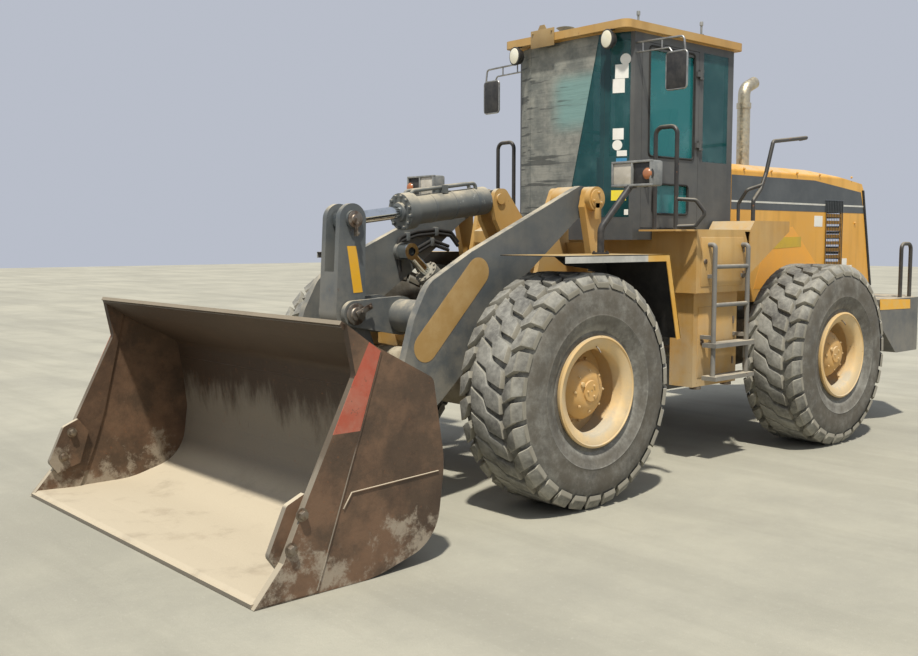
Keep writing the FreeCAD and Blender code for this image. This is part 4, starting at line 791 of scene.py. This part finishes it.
bm = bmesh.new()
head = tilt_base + tilt_run * GLAND
add_bolt_ring(bm, head, tilt_run, 0.114, 12, 0.0125)
add_drum(bm, head - tilt_run * 0.002, head + tilt_run * 0.020, 0.072, 0.066, bevel=0.004)
for reach in (0.20, 0.42, 0.62):
    band = tilt_base + tilt_run * reach
    add_drum(bm, band, band + tilt_run * 0.018, 0.1085, bevel=0.002)
finish_piece("tilt_gland", bm, "tilt_barrel", front_grey, 35)

lift_base = joint_point("lift_barrel_pivot", 0.5)
lift_run = Vector(joints["lift_rod_slide"]["axis"]).normalized()
bm = bmesh.new()
add_bolt_ring(bm, lift_base + lift_run * 1.026, lift_run, 0.084, 10, 0.010)
mirror_left_right(bm)
finish_piece("lift_glands", bm, "lift_barrels", front_grey, 35)
print("linkage hardware made")

# %% [markdown]
# ## Hood
# A dark band runs along the top of each side with a white pin-line under it, and a dark vertical
# intake breaks it. Blank stickers, a bright service patch and a rubber edge at the tail are thin
# sheets laid on the metal, as they are in life.

# %% Hood bands, intake and patches
HOOD_FACE = 0.5503
TAIL_TOP = (-3.520, 2.286)
TAIL_SLOPE = 0.2203


def tail_x(z, inset=0.0):
    return TAIL_TOP[0] - (TAIL_TOP[1] - z) * TAIL_SLOPE + inset


def add_flat(bm, corners, y, thickness):
    add_sheet(bm, [at(x, y, z) for x, z in corners], thickness)


FILM = 0.0012
bm = bmesh.new()
add_flat(bm, [(-1.112, 2.050), (-1.112, 2.352), (-2.535, 2.352), (-3.462, 2.265), (tail_x(2.050, 0.030), 2.050)], HOOD_FACE, FILM)
mirror_left_right(bm)
finish_piece("hood_band", bm, "rear_frame", band_dark)

bm = bmesh.new()
for first, last in ((-1.114, -2.745), (-3.112, tail_x(2.12, 0.034))):
    add_flat(bm, [(first, 2.113), (first, 2.129), (last, 2.129), (last, 2.113)], HOOD_FACE + 0.0014, FILM)
mirror_left_right(bm)
finish_piece("hood_line", bm, "rear_frame", line_white)

bm = bmesh.new()
edge = 0.012
add_flat(bm, [(tail_x(1.30, 0.004), 1.30), (tail_x(2.286, 0.004), 2.286), (tail_x(2.286, 0.034), 2.286), (tail_x(1.30, 0.034), 1.30)], HOOD_FACE, edge)
mirror_left_right(bm)
finish_piece("hood_tail_rubber", bm, "rear_frame", seal_rubber)

bm = bmesh.new()
fins = 11
for i in range(fins):
    x = -3.105 + (i + 0.5) * 0.355 / fins
    depth = 0.030 * math.sin(math.pi * (i + 0.5) / fins)
    blade = [at(x - 0.014, 0.5503, 1.440), at(x + 0.012, 0.5503 + 0.012, 1.440), at(x + 0.012, 0.5623, 2.165), at(x - 0.014, 0.5503, 2.165)]
    add_sheet(bm, blade, 0.003)
add_block(bm, at(-3.112, 0.5501, 1.425), at(-2.745, 0.5535, 1.440), 0.001)
add_block(bm, at(-3.112, 0.5501, 2.160), at(-2.745, 0.5535, 2.175), 0.001)
mirror_left_right(bm)
finish_piece("hood_intake", bm, "rear_frame", band_dark)

patch_orange = plain_finish("patch_orange", (0.86, 0.40, 0.045), (0.78, 0.38, 0.07), 0.5, 3.0)
patch_olive = plain_finish("patch_olive", (0.60, 0.40, 0.03), (0.50, 0.34, 0.05), 0.5, 6.0)
bm = bmesh.new()
add_flat(bm, [(-2.148, 1.903), (-2.618, 1.531), (-2.640, 1.330), (-1.503, 1.330), (-1.690, 1.762)], HOOD_FACE, FILM)
mirror_left_right(bm)
finish_piece("hood_patch", bm, "rear_frame", patch_orange)
bm = bmesh.new()
add_flat(bm, [(-1.703, 1.800), (-2.305, 1.808), (-2.310, 1.713), (-1.680, 1.690)], HOOD_FACE + 0.0014, FILM)
mirror_left_right(bm)
finish_piece("hood_patch_strip", bm, "rear_frame", patch_olive)
bm = bmesh.new()
for x0, x1, z0, z1 in ((-2.702, -2.545, 1.907, 2.012), (-3.320, -3.115, 1.470, 1.520), (-3.210, -3.115, 1.520, 1.590)):
    add_flat(bm, [(x0, z0), (x0, z1), (x1, z1), (x1, z0)], HOOD_FACE, FILM)
mirror_left_right(bm)
finish_piece("hood_stickers", bm, "rear_frame", white_film)

bm = bmesh.new()
for x in (-1.30, -1.75, -2.20, -2.62, -3.25):
    for z in (2.41,):
        add_bolt(bm, at(x, HOOD_FACE, z), (0, 1, 0), 0.010)
for x, z in ((-1.20, 1.30), (-1.20, 1.95), (-3.40, 1.32), (-3.35, 1.95)):
    add_bolt(bm, at(x, HOOD_FACE, z), (0, 1, 0), 0.010)
mirror_left_right(bm)
finish_piece("hood_bolts", bm, "rear_frame", hood_yellow, 35)

# %% [markdown]
# ## Cab glass
# The front panes of this cab are bonded over its pillars, so from outside they read as one dark
# sheet that turns the corner. Clear panes fill the openings here, and a thin dark band of the same
# glass covers the pillars and the low panel. A dusty film hides most of the windscreen, and a
# column of blank stickers stands on the corner pane. All of it is flat sheet laid on the frame.

# %% Bonded panes, film and stickers
CORNER_RUN = Vector((-0.3966, 0.9180, 0.0))
CORNER_OUT = Vector((0.9180, 0.3966, 0.0))


def on_corner(u, z, lift=0.0):
    """A place on the corner pane: u metres back from the front edge, z up, lift proud of it."""
    return at(0.440, 0.400, z) + CORNER_RUN * u + CORNER_OUT * lift


def add_corner_sheet(bm, u0, u1, z0, z1, lift, thickness):
    corners = [on_corner(u0, z0, lift), on_corner(u1, z0, lift), on_corner(u1, z1, lift), on_corner(u0, z1, lift)]
    add_sheet(bm, corners, thickness, CORNER_OUT)


def add_front_sheet(bm, y0, y1, z0, z1, x, thickness):
    add_sheet(bm, [at(x, y0, z0), at(x, y1, z0), at(x, y1, z1), at(x, y0, z1)], thickness, (1, 0, 0))


SILL, HEAD = 2.431, 3.324
bm = bmesh.new()
add_corner_sheet(bm, 0.046, 0.205, SILL, HEAD, -0.004, 0.004)
add_sheet(bm, [at(-0.919, 0.616, SILL), at(-0.565, 0.616, SILL), at(-0.565, 0.616, HEAD), at(-0.919, 0.616, HEAD)], 0.004)
mirror_left_right(bm)
add_front_sheet(bm, -0.359, 0.359, SILL, HEAD, 0.436, 0.004)
add_front_sheet(bm, -0.329, 0.329, 2.201, SILL, 0.436, 0.004)
add_front_sheet(bm, -0.578, 0.578, SILL, HEAD, -0.980, 0.004)
panes = finish_piece("cab_panes", bm, "rear_frame", tinted_glass)
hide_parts("cab_glass")

bonded_glass = plain_finish("bonded_glass", (0.008, 0.040, 0.043), (0.016, 0.070, 0.072), 0.10, 2.0)
bm = bmesh.new()
FROM, BAND = 1.960, 0.0015
add_corner_sheet(bm, 0.001, 0.046, FROM, 3.384, 0.0, BAND)
add_corner_sheet(bm, 0.046, 0.206, FROM, SILL, 0.0, BAND)
add_corner_sheet(bm, 0.046, 0.206, HEAD, 3.384, 0.0, BAND)
add_front_sheet(bm, 0.359, 0.3995, FROM, 3.384, 0.440, BAND)
add_front_sheet(bm, 0.329, 0.359, FROM, SILL, 0.440, BAND)
mirror_left_right(bm)
add_front_sheet(bm, -0.329, 0.329, FROM, 2.201, 0.440, BAND)
add_front_sheet(bm, -0.359, 0.359, HEAD, 3.384, 0.440, BAND)
finish_piece("cab_bonded_band", bm, "rear_frame", bonded_glass)

film = Finish("dusty_film", 0.8)
across = film.part("Object", "Y")
up = film.part("Object", "Z")
grey = film.mix(film.step(film.noise(5.0, 8, 0.7), 0.35, 0.65), (0.155, 0.165, 0.150), (0.30, 0.30, 0.26))
lit = film.math("MULTIPLY", film.step(across, -0.22, 0.0), film.step(up, 2.60, 2.78))
lit = film.math("MULTIPLY", lit, film.step(up, 3.02, 3.16, 1.0, 0.0))
body = film.mix(lit, grey, (0.20, 0.33, 0.31))
# Dark lines along the folds of the sheet are painted shade in its creases.
crease_shade = film.step(film.noise(3.0, 3, 0.6, stretch=(1, 0.5, 8)), 0.56, 0.60, 0.0, 0.75)
crease_shade = film.math("MULTIPLY", crease_shade, film.step(across, -0.18, 0.12, 1.0, 0.2))
film.colour(film.mix(crease_shade, body, (0.05, 0.055, 0.052)))
film.bump(film.noise(4.0, 4, 0.6, stretch=(1, 0.5, 6)), 0.4, 0.01)
bm = bmesh.new()
outline = [(-0.3985, 1.965), (-0.3985, 3.382), (0.340, 3.382), (0.300, 3.20), (0.006, 1.965)]
add_corner_sheet(bm, 0.001, 0.205, 1.965, 3.382, 0.0017, 0.0012)
bmesh.ops.scale(bm, vec=(1, -1, 1), verts=bm.verts)
add_sheet(bm, [at(0.4417, y, z) for y, z in outline], 0.0012, (1, 0, 0))
finish_piece("windscreen_film", bm, "rear_frame", film.material)

sticker_yellow = plain_finish("sticker_yellow", (0.90, 0.74, 0.03), (0.80, 0.66, 0.10), 0.45)
sticker_blue = plain_finish("sticker_blue", (0.03, 0.22, 0.42), (0.10, 0.30, 0.45), 0.45)
bm = bmesh.new()
for u0, u1, z0, z1 in (
    (0.083, 0.191, 3.032, 3.140), (0.065, 0.162, 2.922, 3.030), (0.070, 0.158, 2.562, 2.649), (0.105, 0.186, 2.433, 2.477),
):
    add_corner_sheet(bm, u0, u1, z0, z1, 0.0003, 0.0008)
for u, z, radius in ((0.166, 3.178, 0.043), (0.108, 2.519, 0.040)):
    add_drum(bm, on_corner(u, z, 0.0003), on_corner(u, z, 0.0012), radius, segments=32)
add_corner_sheet(bm, 0.170, 0.203, 1.975, 2.018, 0.0018, 0.0008)
finish_piece("pane_stickers", bm, "rear_frame", white_film)
for name, u0, u1, z0, z1, paint in (
    ("pane_sticker_yellow", 0.063, 0.184, 2.088, 2.168, sticker_yellow),
    ("pane_sticker_blue", 0.100, 0.187, 2.375, 2.417, sticker_blue),
):
    bm = bmesh.new()
    add_corner_sheet(bm, u0, u1, z0, z1, 0.0018, 0.0008)
    finish_piece(name, bm, "rear_frame", paint)
print("cab glazed")

# %% [markdown]
# ## Door seals
# Each door pane sits in a black rubber section with round corners. A strip swept round the opening
# gives its soft edge, and it swings with the door.

# %% Seals round the door panes
for side, body in ((1, "door_left"), (-1, "door_right")):
    bm = bmesh.new()
    for x0, x1, z0, z1 in ((-0.440, 0.160, 2.440, 3.298), (-0.370, 0.100, 1.986, 2.226)):
        loop = [at(x0, 0.621, (z0 + z1) / 2), at(x0, 0.621, z1), at(x1, 0.621, z1), at(x1, 0.621, z0), at(x0, 0.621, z0), at(x0, 0.621, (z0 + z1) / 2)]
        add_tube(bm, rounded(loop, 0.035), 0.009, 8)
    if side < 0:
        bmesh.ops.scale(bm, vec=(1, -1, 1), verts=bm.verts)
    finish_piece(body + "_seals", bm, body, seal_rubber)

# %% [markdown]
# ## Roof
# Lamps in dark round housings with cream lenses look forward and back from the roof's edge. A small
# blank plate stands at the front on two bolts, and an aerial with a flat cap and two short pins
# stand on top.

# %% Roof lamps, plate and aerials
plate_tan = worn_paint("plate_tan", (0.30, 0.19, 0.07), (0.38, 0.27, 0.12), 0.5, 0.0, 0.6)
lamp_shell = plain_finish("lamp_shell", (0.020, 0.020, 0.021), (0.055, 0.052, 0.048), 0.5, 14.0)
LAMPS = ((0.520, 0.500, 1), (-1.060, 0.430, -1))


def add_oval(bm, start, end, radius, squash, **more):
    """A drum whose section is squashed across the machine and stretched in height."""
    made = add_drum(bm, start, end, radius, **more)
    bmesh.ops.scale(bm, vec=(1, squash, 1.1), space=Matrix.Translation(-Vector(start)), verts=[v for v in made if v.is_valid])


bm = bmesh.new()
for x, y, way in LAMPS:
    add_oval(bm, at(x - way * 0.048, y, 3.316), at(x + way * 0.012, y, 3.316), 0.052, 0.85, radius_end=0.070, segments=32)
    add_oval(bm, at(x + way * 0.012, y, 3.316), at(x + way * 0.026, y, 3.316), 0.070, 0.85, segments=32, bevel=0.004)
    add_drum(bm, at(x - way * 0.022, y, 3.37), at(x - way * 0.022, y, 3.396), 0.012)
    add_block(bm, at(x - way * 0.022 - 0.02, y - 0.03, 3.388), at(x - way * 0.022 + 0.02, y + 0.03, 3.394), 0.002)
mirror_left_right(bm)
housings = finish_piece("roof_lamp_housings", bm, "rear_frame", lamp_shell)
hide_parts("roof_lamps")
bm = bmesh.new()
for x, y, way in LAMPS:
    add_oval(bm, at(x + way * 0.020, y, 3.316), at(x + way * 0.031, y, 3.316), 0.060, 0.85, segments=32, bevel=0.006)
mirror_left_right(bm)
finish_piece("roof_lamp_lenses", bm, "rear_frame", lamp_cream)

bm = bmesh.new()
add_block(bm, at(0.5055, -0.341, 3.355), at(0.5115, -0.079, 3.498), 0.002)
add_sheet(bm, [at(0.498, -0.290, 3.46), at(0.498, -0.245, 3.535), at(0.498, -0.195, 3.535), at(0.498, -0.150, 3.46)], 0.006, (1, 0, 0))
for y in (-0.315, -0.105):
    add_bolt(bm, at(0.5115, y, 3.475), (1, 0, 0), 0.007)
finish_piece("roof_plate", bm, "rear_frame", plate_tan)
bm = bmesh.new()
add_drum(bm, at(0.10, -0.33, 3.484), at(0.10, -0.33, 3.500), 0.030)
add_drum(bm, at(0.10, -0.33, 3.500), at(0.10, -0.33, 3.560), 0.011)
add_drum(bm, at(0.10, -0.33, 3.555), at(0.10, -0.33, 3.580), 0.045, radius_end=0.078, segments=32)
add_drum(bm, at(0.10, -0.33, 3.580), at(0.10, -0.33, 3.594), 0.078, radius_end=0.030, segments=32)
for x, y in ((0.10, 0.453), (-0.617, 0.550)):
    add_drum(bm, at(x, y, 3.484), at(x, y, 3.494), 0.022)
    add_drum(bm, at(x, y, 3.494), at(x, y, 3.565), 0.009)
    add_drum(bm, at(x, y, 3.565), at(x, y, 3.598), 0.015, bevel=0.004)
finish_piece("roof_aerials", bm, "rear_frame", lamp_grey)
print("roof fitted")

# %% [markdown]
# ## Mirrors
# Each mirror hangs from a light frame of bent wire. A tube swept along a rounded route makes the
# wire, and the head is a thin shell with a rim and a bright face that looks back.

# %% Wire frames and mirror heads
mirror_face = metal_finish("mirror_face", (0.80, 0.84, 0.86), (0.45, 0.45, 0.42), 0.05, 0.3)
wire_grey = metal_finish("wire_grey", (0.42, 0.42, 0.40), (0.20, 0.17, 0.14), 0.4, 0.5)
bm = bmesh.new()
add_tube(bm, rounded([at(0.325, 0.621, 3.300), at(0.325, 1.060, 3.290), at(0.325, 1.075, 3.180)], 0.030), 0.008)
add_tube(bm, rounded([at(0.325, 0.621, 3.225), at(0.325, 0.930, 3.220), at(0.325, 0.960, 3.180)], 0.020), 0.007)
for y in (0.680, 0.860):
    add_drum(bm, at(0.325, y, 3.224), at(0.325, y, 3.296), 0.006)
rim = [
    at(0.326, 1.000, 3.184), at(0.326, 1.094, 3.184), at(0.326, 1.094, 2.906), at(0.326, 0.906, 2.906),
    at(0.326, 0.906, 3.184), at(0.326, 1.000, 3.184),
]
add_tube(bm, rounded(rim, 0.030), 0.008)
mirror_left_right(bm)
wires = finish_piece("mirror_frames", bm, "rear_frame", wire_grey)
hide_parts("mirrors")
bm = bmesh.new()
add_block(bm, at(0.318, 0.910, 2.910), at(0.336, 1.090, 3.180), 0.007)
mirror_left_right(bm)
finish_piece("mirror_shells", bm, "rear_frame", lamp_shell)
bm = bmesh.new()
add_block(bm, at(0.3145, 0.918, 2.918), at(0.3185, 1.082, 3.172), 0.001)
mirror_left_right(bm)
finish_piece("mirror_faces", bm, "rear_frame", mirror_face)
print("mirrors hung")

# %% [markdown]
# ## Mudguards and headlamps
# Each front mudguard is one bent plate. Only its outer edge is folded down, pale in front and
# yellow behind, so the front of the plate shows as a thin line. The headlamps stand over it on dark
# posts: a square lens beside a round amber indicator.

# %% Mudguards
guard = Finish("guard_paint", 0.6)
edge = guard.step(guard.part("Object", "Y"), 1.3735, 1.3745)
edge_far = guard.step(guard.part("Object", "Y"), -1.3745, -1.3735, 1.0, 0.0)
edge = guard.math("MAXIMUM", edge, edge_far)
ahead = guard.step(guard.part("Object", "X"), 0.88, 0.90)
cloud = guard.step(guard.noise(5.0, 7, 0.7), 0.35, 0.7)
pale = guard.mix(cloud, (0.40, 0.40, 0.37), (0.58, 0.57, 0.52))
warm = guard.mix(cloud, (0.62, 0.33, 0.045), (0.66, 0.42, 0.12))
# Every face that doesn't point up is near black: painted shade under the plate and on its inner wall. Faces that point
# up are dusty yellow.
dark = guard.mix(cloud, (0.020, 0.020, 0.020), (0.050, 0.047, 0.042))
above = guard.step(guard.part("Normal", "Z"), 0.2, 0.5)
dusty = guard.mix(cloud, (0.44, 0.27, 0.075), (0.42, 0.34, 0.20))
body = guard.mix(above, dark, dusty)
guard.colour(guard.mix(edge, body, guard.mix(ahead, warm, pale)))
guard.bump(guard.noise(60.0, 4), 0.2, 0.002)
bm = bmesh.new()
top = [(1.955, 1.674), (1.955, 1.680), (0.880, 1.680), (0.740, 1.085), (0.746, 1.083), (0.886, 1.674)]
add_sheet(bm, [at(x, 0.790, z) for x, z in top], 0.590)
fold = [(1.955, 1.632), (1.955, 1.681), (0.879, 1.681), (0.739, 1.085), (0.786, 1.075), (0.918, 1.632)]
add_sheet(bm, [at(x, 1.374, z) for x, z in fold], 0.006)
wall = [(1.450, 1.676), (0.882, 1.676), (0.800, 1.350), (1.000, 1.560), (1.320, 1.600)]
add_sheet(bm, [at(x, 0.791, z) for x, z in wall], 0.006)
add_block(bm, at(0.900, 0.731, 1.548), at(1.000, 0.795, 1.604), 0.004)
mirror_left_right(bm)
guards = finish_piece("mudguards", bm, "front_frame", guard.material)
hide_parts("front_fenders")

# %% Headlamps
bm = bmesh.new()
add_tube(bm, rounded([at(1.245, 1.060, 1.692), at(1.245, 1.060, 1.860), at(1.020, 1.130, 2.150)], 0.090), 0.024, 20)
add_drum(bm, at(1.245, 1.060, 1.681), at(1.245, 1.060, 1.694), 0.060)
for turn in range(4):
    angle = math.pi / 4 + turn * math.pi / 2
    add_bolt(bm, at(1.245 + 0.046 * math.cos(angle), 1.060 + 0.046 * math.sin(angle), 1.694), (0, 0, 1), 0.007)
add_block(bm, at(0.985, 1.095, 2.140), at(1.045, 1.165, 2.152), 0.003)
mirror_left_right(bm)
posts = finish_piece("headlamp_posts", bm, "front_frame", lamp_shell)
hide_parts("headlamps")
bm = bmesh.new()
add_block(bm, at(0.900, 0.975, 2.152), at(1.022, 1.325, 2.330), 0.016)
for y0, y1, z0, z1 in (
    (0.975, 1.325, 2.152, 2.168), (0.975, 1.325, 2.314, 2.330), (0.975, 0.990, 2.166, 2.316),
    (1.150, 1.164, 2.166, 2.316), (1.311, 1.325, 2.166, 2.316),
):
    add_block(bm, at(1.010, y0, z0), at(1.040, y1, z1), 0.003)
mirror_left_right(bm)
finish_piece("headlamp_housings", bm, "front_frame", lamp_grey)
bm = bmesh.new()
add_block(bm, at(1.018, 0.990, 2.168), at(1.031, 1.150, 2.314), 0.004)
mirror_left_right(bm)
finish_piece("headlamp_lenses", bm, "front_frame", lens_white)
bm = bmesh.new()
add_block(bm, at(1.018, 1.164, 2.168), at(1.025, 1.311, 2.314), 0.002)
add_drum(bm, at(1.020, 1.290, 2.235), at(1.034, 1.290, 2.235), 0.048, segments=32, bevel=0.004)
mirror_left_right(bm)
finish_piece("headlamp_inner", bm, "front_frame", lamp_shell)
bm = bmesh.new()
add_drum(bm, at(1.030, 1.290, 2.235), at(1.052, 1.290, 2.235), 0.042, radius_end=0.028, segments=32, bevel=0.009)
mirror_left_right(bm)
finish_piece("headlamp_indicators", bm, "front_frame", lens_orange)
print("mudguards and headlamps made")

# %% [markdown]
# ## Hoses and clamps on the boom
# Two pressure hoses run along the inner face of the far arm to the tilt cylinder. They are real bent
# hoses held by clamps, so each is a tube along a rounded path with strap clamps over it.

# %% Hoses on the boom
HOSE_Y = -0.583
bm = bmesh.new()
for path in (
    [(1.106, 1.761), (1.187, 1.846), (1.345, 1.862), (1.543, 1.845), (1.735, 1.795), (1.716, 1.564)],
    [(1.210, 1.727), (1.390, 1.778), (1.609, 1.679), (1.523, 1.561)],
):
    for drop in (0.0, 0.031):
        add_tube(bm, rounded([at(x, HOSE_Y, z - drop) for x, z in path], 0.060), 0.0145, 12)
finish_piece("boom_hoses", bm, "boom", seal_rubber)
bm = bmesh.new()
for x, z in ((1.345, 1.862), (1.640, 1.820), (1.390, 1.778)):
    add_block(bm, at(x - 0.018, HOSE_Y - 0.020, z - 0.050), at(x + 0.018, HOSE_Y + 0.018, z + 0.019), 0.005)
finish_piece("boom_hose_clamps", bm, "boom", front_grey)

# %% [markdown]
# ## Counterweight stripe and lockers
# A faded stripe crosses the cast tail weight. The lockers and tanks have doors with a seam, hinges
# and a latch; each door is a thin plate that stands proud of the box.

# %% Stripe, locker doors and plugs
stripe_yellow = plain_finish("stripe_yellow", (0.80, 0.41, 0.030), (0.72, 0.44, 0.11), 0.6)
bm = bmesh.new()
stripe = [(-2.623, 1.223), (-3.248, 1.198), (-3.256, 1.108), (-2.631, 1.120)]
add_sheet(bm, [at(x, 1.2, z) for x, z in stripe], 0.002)
mirror_left_right(bm)
finish_piece("tail_stripe", bm, "rear_frame", stripe_yellow)

bm = bmesh.new()
TANK_FACE, LOW_FACE = 1.050, 0.990
for x0, x1, z0, z1, face in ((-0.540, 0.040, 1.415, 1.800, TANK_FACE), (-0.500, -0.020, 0.690, 1.250, LOW_FACE)):
    add_block(bm, at(x0, face - 0.004, z0), at(x1, face + 0.005, z1), 0.004)
mirror_left_right(bm)
finish_piece("locker_doors", bm, "rear_frame", tan_yellow)
bm = bmesh.new()
for x, z, face in ((-0.538, 1.500, TANK_FACE), (-0.538, 1.710, TANK_FACE), (-0.498, 0.800, LOW_FACE), (-0.498, 1.130, LOW_FACE)):
    add_drum(bm, at(x, face + 0.008, z - 0.030), at(x, face + 0.008, z + 0.030), 0.009, segments=12, bevel=0.002)
for x, z, face in ((-0.010, 1.610, TANK_FACE), (-0.070, 0.970, LOW_FACE)):
    add_drum(bm, at(x, face, z), at(x, face + 0.014, z), 0.022, segments=24, bevel=0.004)
    add_block(bm, at(x - 0.006, face + 0.010, z - 0.018), at(x + 0.006, face + 0.022, z + 0.018), 0.002)
mirror_left_right(bm)
finish_piece("locker_hinges", bm, "rear_frame", bolt_steel)
bm = bmesh.new()
for x, y in ((-0.060, 0.950), (-0.480, 0.950)):
    add_drum(bm, at(x, y, 0.596), at(x, y, 0.622), 0.045, segments=24, bevel=0.006)
mirror_left_right(bm)
finish_piece("tank_plugs", bm, "rear_frame", bolt_steel)
print("hoses, stripe, lockers made")

# %% [markdown]
# ## Ground and light
# A pale floor, a wide sun from behind the left shoulder of the machine as on the day of the
# photograph, and a bright even sky. The floor keeps the shadow.

# %% Floor and lights
floor_finish = Finish("floor_pale", 0.9)
sand = floor_finish.mix(
    floor_finish.step(floor_finish.noise(0.35, 8, 0.7), 0.35, 0.65), (0.390, 0.375, 0.300), (0.310, 0.300, 0.245),
)
tracks = floor_finish.step(floor_finish.noise(1.6, 5, 0.6, stretch=(1.0, 0.12, 1.0)), 0.45, 0.62, 0.0, 0.35)
sand = floor_finish.mix(tracks, sand, (0.250, 0.242, 0.195))
grit = floor_finish.step(floor_finish.noise(34.0, 8, 0.8), 0.55, 0.66, 0.0, 0.45)
floor_finish.colour(floor_finish.mix(grit, sand, (0.44, 0.42, 0.35)))
floor_finish.bump(floor_finish.noise(26.0, 9, 0.8), 0.5, 0.012)
bm = bmesh.new()
bmesh.ops.create_grid(bm, x_segments=1, y_segments=1, size=60.0)
floor_mesh = bpy.data.meshes.new("floor")
bm.to_mesh(floor_mesh)
bm.free()
floor_mesh.materials.append(floor_finish.material)
floor = bpy.data.objects.new("floor", floor_mesh)
bpy.context.scene.collection.objects.link(floor)


def add_sun(name, heading, strength, softness, colour):
    data = bpy.data.lights.new(name, "SUN")
    data.energy = strength
    data.angle = math.radians(softness)
    data.color = colour
    lamp = bpy.data.objects.new(name, data)
    lamp.rotation_euler = Vector(heading).to_track_quat("-Z", "Y").to_euler()
    bpy.context.scene.collection.objects.link(lamp)


add_sun("sun", (-0.48, -0.42, -1.33), 4.6, 2.5, (1.0, 0.95, 0.86))

world = bpy.data.worlds.new("sky")
bpy.context.scene.world = world
world.use_nodes = True
background = world.node_tree.nodes["Background"]
background.inputs["Color"].default_value = (0.78, 0.83, 0.95, 1.0)
background.inputs["Strength"].default_value = 0.62
print("stage set")
